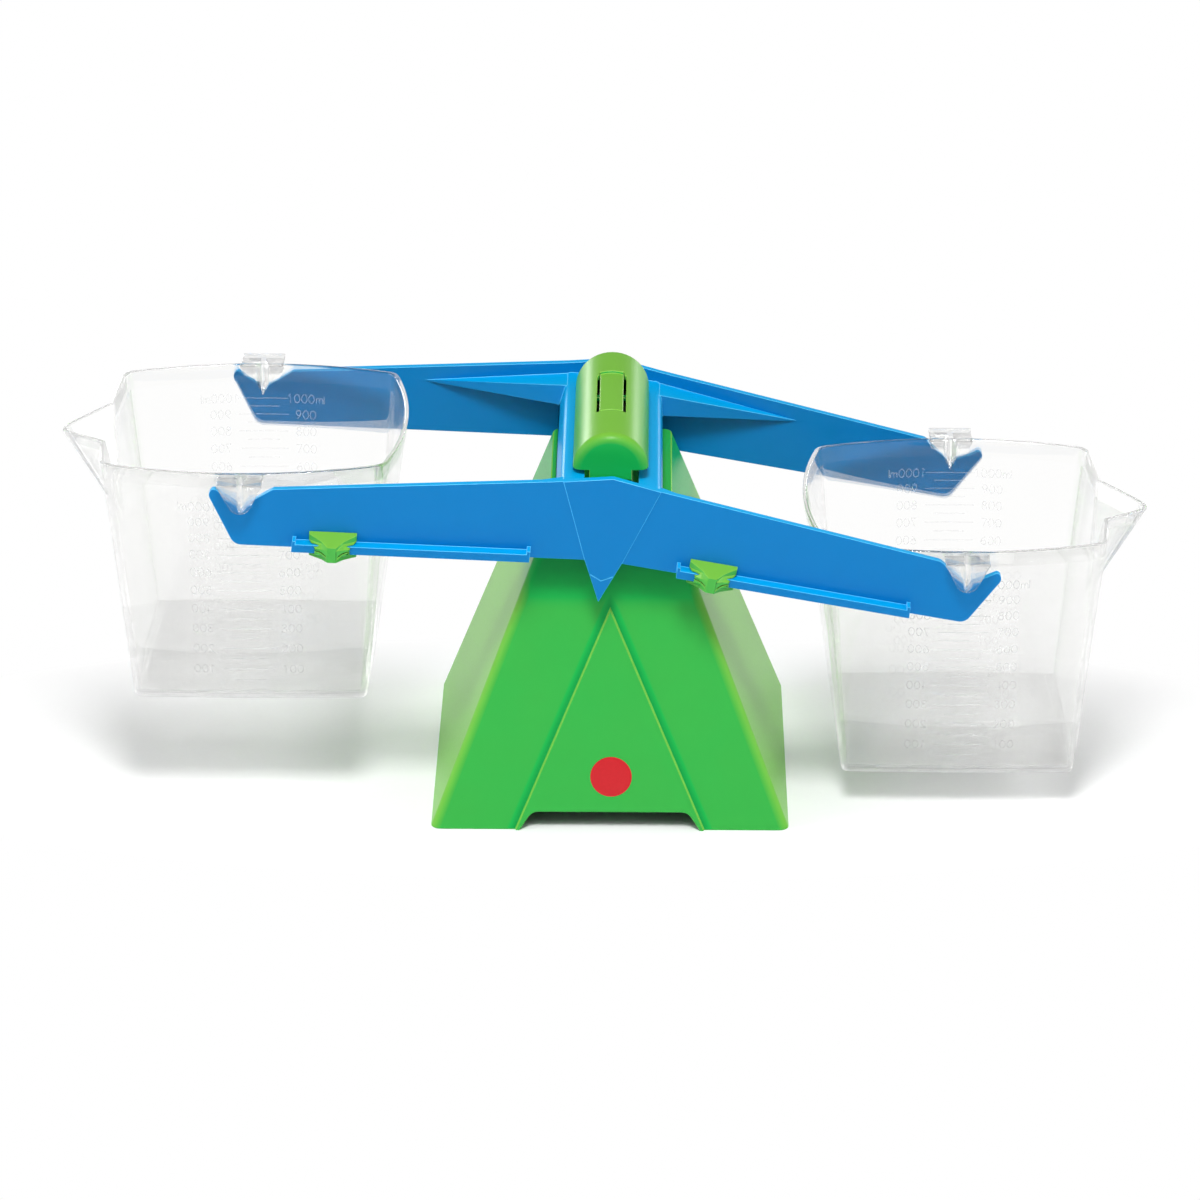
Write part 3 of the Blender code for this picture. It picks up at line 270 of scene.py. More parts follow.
def moulded_plastic(name, lit_and_shaded_tones, roughness, side_painted_light=SIDE_PAINTED_LIGHT, painted_shade=None):
    """ABS or acetal from a steel mould: soft gloss, faint flow shading and fine eroded grain.

    Its colour ramp is painted light and shade: it runs from the darkest colour on faces that look
    down, over the front ones, to the lightest on those that look up or to the sides. A function
    given as the last argument says where painted shade darkens the colour further. The real grain
    is about 0.1 mm, too fine to show, and is drawn coarser.
    """
    made, tree = new_material(name)
    texture = add(tree, "ShaderNodeTexCoord")
    place = texture.outputs["Object"]
    facing = add(tree, "ShaderNodeSeparateXYZ", {"Vector": texture.outputs["Normal"]})
    across = add(tree, "ShaderNodeMath", {0: facing.outputs["X"]}, operation="ABSOLUTE")
    # Painted light: a face that looks up, or to the side by the side share, gets a lighter colour of the ramp
    painted_light_lean = add(tree, "ShaderNodeMath", {
        0: across.outputs["Value"], 1: side_painted_light, 2: facing.outputs["Z"]},
        operation="MULTIPLY_ADD")
    # Painted shade: where the given function says, the colour darkens towards the ramp's shaded end
    if painted_shade:
        painted_light_lean = add(tree, "ShaderNodeMath", {
            0: painted_shade(tree, place), 1: -PAINTED_SHADE_STRENGTH, 2: painted_light_lean.outputs["Value"]},
            operation="MULTIPLY_ADD")
    flow = add(tree, "ShaderNodeTexNoise", {
        "Vector": place, "Scale": pattern_scale(FLOW_MM), "Detail": 2.0})
    flow_and_painted_light = add(tree, "ShaderNodeMath", {
        0: flow.outputs["Fac"], 1: FLOW_TONE, 2: painted_light_lean.outputs["Value"]}, operation="MULTIPLY_ADD")
    tone = add(tree, "ShaderNodeMapRange", {
        "Value": flow_and_painted_light.outputs["Value"], "From Min": PAINTED_LIGHT_LEANS[0], "From Max": PAINTED_LIGHT_LEANS[1]})
    lit_and_shaded_colour = add(tree, "ShaderNodeValToRGB", {"Fac": tone.outputs["Result"]})
    stops = lit_and_shaded_colour.color_ramp.elements
    while len(stops) < len(lit_and_shaded_tones):
        stops.new(0.5)
    for stop, position, colour in zip(stops, LIT_AND_SHADED_STOPS, lit_and_shaded_tones):
        stop.position = position
        stop.color = linear(colour)
    grain = add(tree, "ShaderNodeTexNoise", {
        "Vector": place, "Scale": pattern_scale(GRAIN_MM), "Detail": 3.0})
    gloss = add(tree, "ShaderNodeMapRange", {
        "Value": grain.outputs["Fac"],
        "To Min": roughness - GLOSS_SPREAD, "To Max": roughness + GLOSS_SPREAD})
    relief = add(tree, "ShaderNodeBump", {
        "Height": grain.outputs["Fac"], "Strength": 0.06, "Distance": 0.0001})
    shader = add(tree, "ShaderNodeBsdfPrincipled", {
        "Base Color": lit_and_shaded_colour.outputs["Color"], "Roughness": gloss.outputs["Result"],
        "Normal": relief.outputs["Normal"], "IOR": 1.53, "Specular IOR Level": ABS_GLINT})
    add(tree, "ShaderNodeOutputMaterial", {"Surface": shader.outputs["BSDF"]})
    return made


def clear_styrene(name, shows):
    """Clear styrene from a polished mould: hard gloss, hardly a tint, faint waves in its walls."""
    made, tree = new_material(name)
    place = add(tree, "ShaderNodeTexCoord").outputs["Object"]
    waves = add(tree, "ShaderNodeTexNoise", {
        "Vector": place, "Scale": pattern_scale(WAVE_MM), "Detail": 1.0})
    tint = add(tree, "ShaderNodeValToRGB", {"Fac": waves.outputs["Fac"]})
    tint.color_ramp.elements[0].color = linear("#FAFAF8")
    tint.color_ramp.elements[1].color = linear("#FEFEFD")
    haze = add(tree, "ShaderNodeMapRange", {
        "Value": waves.outputs["Fac"], "To Min": 0.0, "To Max": 0.03})
    relief = add(tree, "ShaderNodeBump", {
        "Height": waves.outputs["Fac"], "Strength": 0.03, "Distance": 0.001})
    shader = add(tree, "ShaderNodeBsdfPrincipled", {
        "Base Color": tint.outputs["Color"], "Roughness": haze.outputs["Result"],
        "Normal": relief.outputs["Normal"], "IOR": STYRENE_IOR, "Transmission Weight": 1.0,
        "Alpha": shows})
    add(tree, "ShaderNodeOutputMaterial", {"Surface": shader.outputs["BSDF"]})
    return made


def frosted_styrene():
    """The same styrene where the mould is engraved: its matt faces read whitish on the wall.

    The real frost is finer than 0.1 mm, and is drawn coarser to show.
    """
    made, tree = new_material("frosted_styrene")
    place = add(tree, "ShaderNodeTexCoord").outputs["Object"]
    frost = add(tree, "ShaderNodeTexNoise", {
        "Vector": place, "Scale": pattern_scale(FROST_MM), "Detail": 2.0})
    tint = add(tree, "ShaderNodeValToRGB", {"Fac": frost.outputs["Fac"]})
    tint.color_ramp.elements[0].color = linear("#F6F7F8")
    tint.color_ramp.elements[1].color = linear("#FEFEFE")
    haze = add(tree, "ShaderNodeMapRange", {
        "Value": frost.outputs["Fac"], "To Min": 0.45, "To Max": 0.60})
    shader = add(tree, "ShaderNodeBsdfPrincipled", {
        "Base Color": tint.outputs["Color"], "Roughness": haze.outputs["Result"],
        "IOR": STYRENE_IOR, "Alpha": MARKS_SHOW})
    add(tree, "ShaderNodeOutputMaterial", {"Surface": shader.outputs["BSDF"]})
    return made


def drawn_steel():
    """Bright steel rod: fine draw lines along its length stretch its highlights.

    The real lines are finer than 0.1 mm, and are drawn coarser to show.
    """
    made, tree = new_material("drawn_steel")
    place = add(tree, "ShaderNodeTexCoord").outputs["Object"]
    along = add(tree, "ShaderNodeMapping", {"Vector": place, "Scale": (1.0, 0.02, 1.0)})
    lines = add(tree, "ShaderNodeTexNoise", {
        "Vector": along.outputs["Vector"], "Scale": pattern_scale(DRAW_LINE_MM), "Detail": 2.0})
    tone = add(tree, "ShaderNodeValToRGB", {"Fac": lines.outputs["Fac"]})
    tone.color_ramp.elements[0].color = linear("#B4B6B8")
    tone.color_ramp.elements[1].color = linear("#D6D7D8")
    relief = add(tree, "ShaderNodeBump", {
        "Height": lines.outputs["Fac"], "Strength": 0.1, "Distance": 0.0001})
    shader = add(tree, "ShaderNodeBsdfPrincipled", {
        "Base Color": tone.outputs["Color"], "Roughness": 0.28, "Metallic": 1.0,
        "Normal": relief.outputs["Normal"]})
    add(tree, "ShaderNodeOutputMaterial", {"Surface": shader.outputs["BSDF"]})
    return made


def pad_printed_ink():
    """Red ink pad-printed on the panel: a thin even film, slightly glossier than the plastic."""
    made, tree = new_material("pad_printed_ink")
    place = add(tree, "ShaderNodeTexCoord").outputs["Object"]
    film = add(tree, "ShaderNodeTexNoise", {
        "Vector": place, "Scale": pattern_scale(FILM_MM), "Detail": 3.0})
    tone = add(tree, "ShaderNodeValToRGB", {"Fac": film.outputs["Fac"]})
    tone.color_ramp.elements[0].color = linear("#C2161F")
    tone.color_ramp.elements[1].color = linear("#CE1E28")
    gloss = add(tree, "ShaderNodeMapRange", {
        "Value": film.outputs["Fac"], "To Min": 0.26, "To Max": 0.36})
    shader = add(tree, "ShaderNodeBsdfPrincipled", {
        "Base Color": tone.outputs["Color"], "Roughness": gloss.outputs["Result"], "IOR": 1.5,
        "Specular IOR Level": 0.3})
    add(tree, "ShaderNodeOutputMaterial", {"Surface": shader.outputs["BSDF"]})
    return made


# Meshes
def linked(work, name):
    """Turn a work mesh into an object of the scene."""
    mesh = bpy.data.meshes.new(name)
    work.to_mesh(mesh)
    work.free()
    piece = bpy.data.objects.new(name, mesh)
    scene.collection.objects.link(piece)
    return piece


def plain_mesh(holder):
    """Return an object's mesh with its modifiers applied."""
    depsgraph = bpy.context.evaluated_depsgraph_get()
    return bpy.data.meshes.new_from_object(holder.evaluated_get(depsgraph))


def smooth(mesh, sharp_degrees):
    """Shade a mesh smooth, except over edges sharper than the angle."""
    mesh.shade_smooth()
    mesh.set_sharp_from_angle(angle=math.radians(sharp_degrees))


def hit_tree(mesh):
    """Return what finds where a ray meets a mesh."""
    return BVHTree.FromPolygons([v.co for v in mesh.vertices], [p.vertices for p in mesh.polygons])


def moulded_copy(node, body, look, edge_highlight_look):
    """Stand a copy of a solid in for it, its flat faces whole again and its edges rounded, with painted highlights
    on them.
    """
    work = bmesh.new()
    work.from_mesh(frame["nodes"][node].data)
    bmesh.ops.remove_doubles(work, verts=work.verts, dist=MERGE_REACH)
    bmesh.ops.dissolve_limit(work, angle_limit=math.radians(FLAT_TURN), verts=work.verts,
                             edges=work.edges)
    piece = linked(work, node + "_moulded")
    piece.data.materials.append(look)
    piece.data.materials.append(edge_highlight_look)
    smooth(piece.data, SHARP_EDGE)
    bevel = piece.modifiers.new("Bevel", "BEVEL")
    bevel.limit_method = "ANGLE"
    bevel.angle_limit = math.radians(ROUNDED_EDGE)
    bevel.width = EDGE_ROUNDS.get(node, OTHER_EDGE_ROUND)
    bevel.segments = EDGE_STEPS
    # The rounded edges take the second material, whose lighter colours are painted highlights
    bevel.material = EDGE_LOOK
    bevel.use_clamp_overlap = False
    even = piece.modifiers.new("Even normals", "WEIGHTED_NORMAL")
    even.keep_sharp = True
    piece.data = plain_mesh(piece)
    piece.modifiers.clear()
    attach(piece, body)
    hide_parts(node)


def lofted(rings):
    """A closed solid through rings of equal length, flat at both ends."""
    work = bmesh.new()
    loops = [[work.verts.new(point) for point in ring] for ring in rings]
    for lower, upper in zip(loops, loops[1:]):
        for index in range(len(lower)):
            follow = (index + 1) % len(lower)
            work.faces.new((lower[index], lower[follow], upper[follow], upper[index]))
    work.faces.new(loops[0])
    work.faces.new(loops[-1])
    bmesh.ops.recalc_face_normals(work, faces=work.faces)
    return linked(work, "loft")


def slab(points, near_y, far_y, edge):
    """An upright outline made solid between two depths, its edges softly rounded."""
    work = bmesh.new()
    face = work.faces.new([work.verts.new((x, near_y, z)) for x, z in points])
    pushed = bmesh.ops.extrude_face_region(work, geom=[face])
    moved = [item for item in pushed["geom"] if isinstance(item, bmesh.types.BMVert)]
    bmesh.ops.translate(work, verts=moved, vec=(0, far_y - near_y, 0))
    bmesh.ops.recalc_face_normals(work, faces=work.faces)
    least = math.radians(ROUNDED_SLAB_EDGE)
    sharp = [item for item in work.edges if item.calc_face_angle() > least]
    bmesh.ops.bevel(work, geom=sharp, offset=edge, segments=EDGE_STEPS, affect="EDGES",
                    profile=0.5)
    return linked(work, "slab")


def fuse(target, tool, operation):
    """Join or cut two solids, and drop the tool."""
    modifier = target.modifiers.new("Fuse", "BOOLEAN")
    modifier.operation = operation
    modifier.solver = "EXACT"
    modifier.object = tool
    target.data = plain_mesh(target)
    target.modifiers.clear()
    bpy.data.objects.remove(tool)


# Clear buckets
def between(low, high, share):
    """Return the value between low and high."""
    return low + (high - low) * share


def rounded_corner(corner, before, after, radius):
    """Points of an arc that rounds a corner between its neighbours."""
    corner = Vector(corner)
    first = (Vector(before) - corner).normalized()
    second = (Vector(after) - corner).normalized()
    half = first.angle(second) / 2
    centre = corner + (first + second).normalized() * (radius / math.sin(half))
    start = corner + first * (radius / math.tan(half)) - centre
    end = corner + second * (radius / math.tan(half)) - centre
    sweep = math.atan2(start.x * end.y - start.y * end.x, start.dot(end))
    return [centre + Matrix.Rotation(sweep * step / CORNER_STEPS, 2) @ start
            for step in range(CORNER_STEPS + 1)]


def spout_plan(root_x, root_y, reach):
    """Blunt V of the spout between its two roots."""
    blunt = math.hypot(1, SPOUT_BLUNT) - SPOUT_BLUNT
    points = []
    for step in range(-SPOUT_STEPS, SPOUT_STEPS + 1):
        share = step / SPOUT_STEPS
        out = 1 - (math.hypot(share, SPOUT_BLUNT) - SPOUT_BLUNT) / blunt
        points.append(Vector((root_x + reach * out, root_y * share)))
    return points


def bucket_plan(z, inset):
    """Plan of the wall at a height, inset from its outer face, anticlockwise from the spout."""
    rise = (z - FLOOR_Z) / (RIM_Z - FLOOR_Z)
    half_x, half_y = (between(low, high, rise) - inset for low, high in zip(FLOOR_HALF, RIM_HALF))
    side_bow, hub_bow, spout_bow = (between(FLOOR_BOW, bow, rise) for bow in RIM_BOWS)
    radius = max(between(FLOOR_CORNER, RIM_CORNER, rise) - inset, FLOOR_ROUND / 2)
    fade = max(0.0, (z - SPOUT_FOOT_Z) / (RIM_Z - SPOUT_FOOT_Z))
    open_y = max(0.0, SPOUT_HALF * fade - inset * (math.sqrt(2) - 1))
    root_y = max(open_y, SPOUT_LEAST)
    root_x = half_x + spout_bow * (1 - (root_y / half_y) ** 2)
    shares = [1 - 2 * step / SIDE_STEPS for step in range(SIDE_STEPS + 1)]
    along = [share * (1 - CORNER_CLEAR * radius / half_x) for share in shares]
    across = [share * (1 - CORNER_CLEAR * radius / half_y) for share in shares]
    runs = [
        spout_plan(root_x, root_y, open_y * SPOUT_REACH / SPOUT_HALF),
        [Vector((half_x * share, half_y + side_bow * (1 - share ** 2))) for share in along],
        [Vector((-half_x - hub_bow * (1 - share ** 2), half_y * share)) for share in across],
        [Vector((-half_x * share, -half_y - side_bow * (1 - share ** 2))) for share in along],
    ]
    corners = [(half_x, half_y), (-half_x, half_y), (-half_x, -half_y), (half_x, -half_y)]
    plan = []
    for run, follow, corner in zip(runs, runs[1:] + runs[:1], corners):
        plan += run + rounded_corner(corner, run[-1], follow[0], radius)
    return plan


def rim_drop(point):
    """How far the rim dips towards the spout, at a point of the rim's outer plan."""
    straight_y = RIM_HALF[1] - RIM_CORNER
    if point.x < RIM_HALF[0] - RIM_CORNER or abs(point.y) > straight_y:
        return 0.0
    if abs(point.y) > SPOUT_HALF:
        return SPOUT_DROPS[0] * (straight_y - abs(point.y)) / (straight_y - SPOUT_HALF)
    share = (point.x - RIM_HALF[0] - RIM_BOWS[2]) / SPOUT_REACH
    return between(*SPOUT_DROPS, min(1.0, max(0.0, share)))


def level_ring(z, inset):
    """One flat ring of the wall."""
    return [(point.x, point.y, z) for point in bucket_plan(z, inset)]


def dipped_ring(inset, below, share=1.0):
    """A ring just below the rim, or at a share of the way up to it from the spout's foot."""
    height = RIM_Z - SPOUT_FOOT_Z
    plans = [bucket_plan(RIM_Z, 0), bucket_plan(RIM_Z, inset), bucket_plan(SPOUT_FOOT_Z, inset)]
    ring = []
    for outer, upper, lower in zip(*plans):
        climb = (1 - (rim_drop(outer) + below) / height) * share
        point = lower.lerp(upper, climb)
        ring.append((point.x, point.y, SPOUT_FOOT_Z + height * climb))
    return ring


def lug():
    """Hanger lug of the rear wall: tab at the rim, skirt outside the beam, knife fin between."""
    top_z = RIM_Z - LUG_SINK
    foot_z = top_z - LUG_THICKNESS
    tab = [(-LUG_HALF, foot_z), (LUG_HALF, foot_z), (LUG_HALF, top_z), (-LUG_HALF, top_z)]
    made = slab(tab, RIM_HALF[1], SKIRT_Y[1], EDGE_ROUND / 2)
    point = (0, RIM_Z - SKIRT_DEPTH - SKIRT_POINT)
    side_z = top_z - EDGE_ROUND
    arc = rounded_corner(point, (LUG_HALF, side_z), (-LUG_HALF, side_z), SKIRT_ROUND)
    skirt = [(-LUG_HALF, top_z), (-LUG_HALF, side_z)] + [tuple(spot) for spot in reversed(arc)]
    skirt += [(LUG_HALF, side_z), (LUG_HALF, top_z)]
    fuse(made, slab(skirt, *SKIRT_Y, EDGE_ROUND / 2), "UNION")
    edge = [*FIN_SHAPE, (FIN_SHAPE[-1][0], RIM_Z - EDGE_ROUND)]
    fin = edge + [(-x, z) for x, z in reversed(edge[1:])]
    fuse(made, slab(fin, RIM_HALF[1], sum(SKIRT_Y) / 2, EDGE_ROUND / 4), "UNION")
    middle = [level_ring(z, BUCKET_WALL / 2) for z in (SPOUT_FOOT_Z, RIM_Z)]
    above = [(x, y, z + CUTTER_PAST) for x, y, z in middle[-1]]
    fuse(made, lofted([*middle, above]), "DIFFERENCE")
    return made


def clear_bucket(node, out, look, rim_look):
    """Stand a smooth thin-walled bucket in for the solid; out is -1 or 1, its spout's way."""
    turns = [math.radians(90 * step / ROUND_STEPS) for step in range(ROUND_STEPS + 1)]
    # How far a rounded edge's points lie in from its wall and off its level, in radii
    rounds = [(1 - math.cos(turn), 1 - math.sin(turn)) for turn in turns]
    shares = [step / CLIMB_STEPS for step in range(CLIMB_STEPS)]
    outer = [level_ring(FLOOR_Z + FLOOR_ROUND * off, FLOOR_ROUND * inset)
             for inset, off in reversed(rounds)]
    climbs = [dipped_ring(0, 0, share) for share in shares]
    brim = [dipped_ring(EDGE_ROUND * inset, EDGE_ROUND * off) for inset, off in rounds]
    lip = [dipped_ring(BUCKET_WALL - EDGE_ROUND * inset, EDGE_ROUND * off)
           for inset, off in reversed(rounds)]
    falls = [dipped_ring(BUCKET_WALL, 0, share) for share in reversed(shares)]
    inner = [level_ring(FLOOR_Z + BUCKET_WALL + FLOOR_ROUND * off,
                        BUCKET_WALL + FLOOR_ROUND * inset) for inset, off in rounds]
    wall = outer + climbs
    rim = brim + lip
    made = lofted(wall + rim + falls + inner)
    made.data.materials.append(look)
    made.data.materials.append(rim_look)
    around = len(wall[0])
    for face in made.data.polygons[len(wall) * around:len(wall + rim) * around]:
        face.material_index = EDGE_LOOK
    for side in (1, -1):
        hanger = lug()
        hanger.data.transform(Matrix.Diagonal((1, side, 1, 1)))
        if side < 0:
            hanger.data.flip_normals()
        fuse(made, hanger, "UNION")
    hang = Matrix.Translation(hang_of[node])
    made.data.transform(hang @ Matrix.Diagonal((out, 1, 1, 1)))
    if out < 0:
        made.data.flip_normals()
    made.name = made.data.name = node + "_moulded"
    smooth(made.data, SHARP_BUCKET_EDGE)
    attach(made, body_of[node])
    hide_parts(node)
    return made


# Marks on the buckets: each sign's strokes, in shares of its height
GLYPHS = {
    "0": [("loop", [(0.30, 1.00), (0.58, 0.72), (0.58, 0.28), (0.30, 0.00), (0.02, 0.28),
                    (0.02, 0.72)])],
    "1": [("line", [(0.12, 0.80), (0.34, 1.00), (0.34, 0.00)])],
    "2": [("curve", [(0.03, 0.78), (0.30, 1.00), (0.57, 0.72), (0.34, 0.34), (0.02, 0.01)]),
          ("line", [(0.02, 0.00), (0.60, 0.00)])],
    "3": [("curve", [(0.04, 0.84), (0.30, 1.00), (0.54, 0.78), (0.26, 0.54)]),
          ("curve", [(0.26, 0.54), (0.58, 0.28), (0.30, 0.00), (0.02, 0.18)])],
    "4": [("line", [(0.46, 0.00), (0.46, 1.00), (0.00, 0.28), (0.64, 0.28)])],
    "5": [("line", [(0.54, 1.00), (0.12, 1.00), (0.07, 0.56)]),
          ("curve", [(0.07, 0.56), (0.34, 0.64), (0.58, 0.33), (0.30, 0.00), (0.02, 0.16)])],
    "6": [("curve", [(0.46, 0.98), (0.14, 0.66), (0.02, 0.30)]),
          ("loop", [(0.30, 0.60), (0.58, 0.30), (0.30, 0.00), (0.02, 0.30)])],
    "7": [("line", [(0.00, 1.00), (0.60, 1.00), (0.20, 0.00)])],
    "8": [("loop", [(0.30, 1.00), (0.52, 0.78), (0.30, 0.56), (0.08, 0.78)]),
          ("loop", [(0.30, 0.56), (0.58, 0.28), (0.30, 0.00), (0.02, 0.28)])],
    "9": [("curve", [(0.14, 0.02), (0.46, 0.34), (0.58, 0.70)]),
          ("loop", [(0.30, 1.00), (0.58, 0.70), (0.30, 0.40), (0.02, 0.70)])],
    "m": [("line", [(0.02, 0.00), (0.02, 0.62)]),
          ("curve", [(0.02, 0.40), (0.20, 0.62), (0.38, 0.42), (0.38, 0.00)]),
          ("curve", [(0.38, 0.40), (0.57, 0.62), (0.76, 0.42), (0.76, 0.00)])],
    "l": [("line", [(0.10, 0.00), (0.10, 1.00)])],
}


def mark_height(step):
    """Height of a volume mark over the hang point; the marks close up as the bucket widens."""
    hundreds = step * MARK_ML / 100
    return MARK_FOOT + MARK_STEP * hundreds - MARK_SHRINK * hundreds ** 2


def number_strokes(text, start, foot):
    """Return one number's strokes, as (kind, points) on the flat wall."""
    strokes = []
    for index, sign in enumerate(text):
        left = start + index * NUMBER_PITCH
        for kind, points in GLYPHS[sign]:
            strokes.append((kind, [(left + x * NUMBER_HEIGHT, foot + z * NUMBER_HEIGHT)
                                   for x, z in points]))
    return strokes


def flat_numbers():
    """All the numbers of one wall as a mesh of round strokes, in the plane y = 0."""
    strokes = []
    for step in MARK_SPAN[1::2]:
        full = step == FULL_MARK
        text = str(step * MARK_ML) + ("ml" if full else "")
        start = FULL_START if full else NUMBER_START
        strokes += number_strokes(text, start, mark_height(step) - NUMBER_HEIGHT / 2)
    drawn = bpy.data.curves.new("numbers", "CURVE")
    drawn.dimensions = "3D"
    drawn.bevel_depth = NUMBER_STROKE
    drawn.bevel_resolution = NUMBER_ROUND
    drawn.resolution_u = NUMBER_STEPS
    drawn.use_fill_caps = True
    for kind, points in strokes:
        handle = "VECTOR" if kind == "line" else "AUTO"
        for side in (-1, 1):
            spline = drawn.splines.new("BEZIER")
            spline.bezier_points.add(len(points) - 1)
            for knot, (x, z) in zip(spline.bezier_points, points):
                knot.co = (side * x, 0, z)
                knot.handle_left_type = knot.handle_right_type = handle
            spline.use_cyclic_u = kind == "loop"
    holder = bpy.data.objects.new("numbers", drawn)
    scene.collection.objects.link(holder)
    mesh = plain_mesh(holder)
    bpy.data.objects.remove(holder)
    return mesh


def mark_tree(look):
    """Geometry Nodes: a bar on each point, as long as the point's own length says."""
    tree = bpy.data.node_groups.new("volume_marks", "GeometryNodeTree")
    face = tree.interface
    face.new_socket("Points", in_out="INPUT", socket_type="NodeSocketGeometry")
    for name, value in (("Thickness", MARK_THICK), ("Proud", MARK_PROUD)):
        size = face.new_socket(name, in_out="INPUT", socket_type="NodeSocketFloat")
        size.default_value = value
    face.new_socket("Marks", in_out="OUTPUT", socket_type="NodeSocketGeometry")
    given = add(tree, "NodeGroupInput")
    flat = add(tree, "ShaderNodeCombineXYZ", {
        "X": 1.0, "Y": given.outputs["Proud"], "Z": given.outputs["Thickness"]})
    bar = add(tree, "GeometryNodeMeshCube", {"Size": flat.outputs["Vector"], **MARK_CUTS})
    length = add(tree, "GeometryNodeInputNamedAttribute", {"Name": "length"}, data_type="FLOAT")
    stretch = add(tree, "ShaderNodeCombineXYZ", {
        "X": length.outputs["Attribute"], "Y": 1.0, "Z": 1.0})
    laid = add(tree, "GeometryNodeInstanceOnPoints", {
        "Points": given.outputs["Points"], "Instance": bar.outputs["Mesh"],
        "Scale": stretch.outputs["Vector"]})
    real = add(tree, "GeometryNodeRealizeInstances", {"Geometry": laid.outputs["Instances"]})
    dressed = add(tree, "GeometryNodeSetMaterial", {
        "Geometry": real.outputs["Geometry"], "Material": look})
    add(tree, "NodeGroupOutput", {"Marks": dressed.outputs["Geometry"]})
    return tree


def flat_marks(tree):
    """The bars of one wall as a mesh in the plane y = 0."""
    points = bpy.data.meshes.new("mark_points")
    points.from_pydata([(0, 0, mark_height(step)) for step in MARK_SPAN], [], [])
    length = points.attributes.new("length", "FLOAT", "POINT")
    for entry, step in zip(length.data, MARK_SPAN):
        entry.value = SHORT_MARK if step % 2 else LONG_MARK
    holder = bpy.data.objects.new("mark_points", points)
    scene.collection.objects.link(holder)
    layer = holder.modifiers.new("Marks", "NODES")
    layer.node_group = tree
    mesh = plain_mesh(holder)
    bpy.data.objects.remove(holder)
    return mesh


def wrap_on_walls(flat_meshes, bucket, node, look):
    """Lay flat marks on a bucket's front and rear walls, out from the inner face by the wall."""
    wall = hit_tree(bucket.data)
    hang = hang_of[node]
    body = body_of[node]
    work = bmesh.new()
    for flat in flat_meshes:
        for side in (-1, 1):
            layer = bmesh.new()
            layer.from_mesh(flat)
            for vert in layer.verts:
                start = Vector((hang.x + vert.co.x, 0, hang.z + vert.co.z))
                met, _, _, _ = wall.ray_cast(start, Vector((0, side, 0)))
                face_y = met.y + side * BUCKET_WALL
                vert.co = Vector((start.x, face_y - side * vert.co.y, start.z))
            if side > 0:
                bmesh.ops.reverse_faces(layer, faces=layer.faces)
            placed = bpy.data.meshes.new("placed")
            layer.to_mesh(placed)
            layer.free()
            work.from_mesh(placed)
            bpy.data.meshes.remove(placed)
    bmesh.ops.recalc_face_normals(work, faces=work.faces)
    piece = linked(work, node + "_marks")
    piece.data.materials.clear()
    piece.data.materials.append(look)
    smooth(piece.data, SHARP_EDGE)
    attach(piece, body)


def printed_disc(look):
    """Plain printed disc on the stand's front panel, lying on its sloping face."""
    wall = hit_tree(frame["nodes"]["base_shell"].data)
    start = Vector((DISC_PLACE[0], -1, DISC_PLACE[1]))
    met, normal, _, _ = wall.ray_cast(start, Vector((0, 1, 0)))
    across = Vector((1, 0, 0))
    upward = normal.cross(across).normalized()
    rings = []
    for reach, rise in DISC_RINGS:
        ring = []
        for step in range(DISC_STEPS):
            turn = 2 * math.pi * step / DISC_STEPS
            out = (across * math.cos(turn) + upward * math.sin(turn)) * DISC_RADIUS * reach
            ring.append(met + out + normal * DISC_PROUD * rise)
        rings.append(ring)
    piece = lofted(rings)
    piece.name = piece.data.name = "front_disc"
    piece.data.materials.append(look)
    smooth(piece.data, SHARP_DISC_EDGE)
    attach(piece, "stand")


# Stage
def softbox(name, place, aim_z, size, power):
    """Add a rectangular soft light that looks at the object's axis."""
    lamp = bpy.data.lights.new(name, "AREA")
    lamp.shape = "RECTANGLE"
    lamp.size, lamp.size_y = size
    lamp.energy = power
    holder = bpy.data.objects.new(name, lamp)
    holder.location = place
    aim = Vector((0, 0, aim_z)) - Vector(place)
    holder.rotation_euler = aim.to_track_quat("-Z", "Y").to_euler()
    scene.collection.objects.link(holder)


def seen_rays(tree):
    """Return what tells camera rays, and what tells those that gloss and clear walls send on."""
    ray = add(tree, "ShaderNodeLightPath")
    sent = add(tree, "ShaderNodeMath", {
        0: ray.outputs["Is Glossy Ray"], 1: ray.outputs["Is Transmission Ray"]},
        operation="MAXIMUM")
    return ray.outputs["Is Camera Ray"], sent.outputs["Value"]


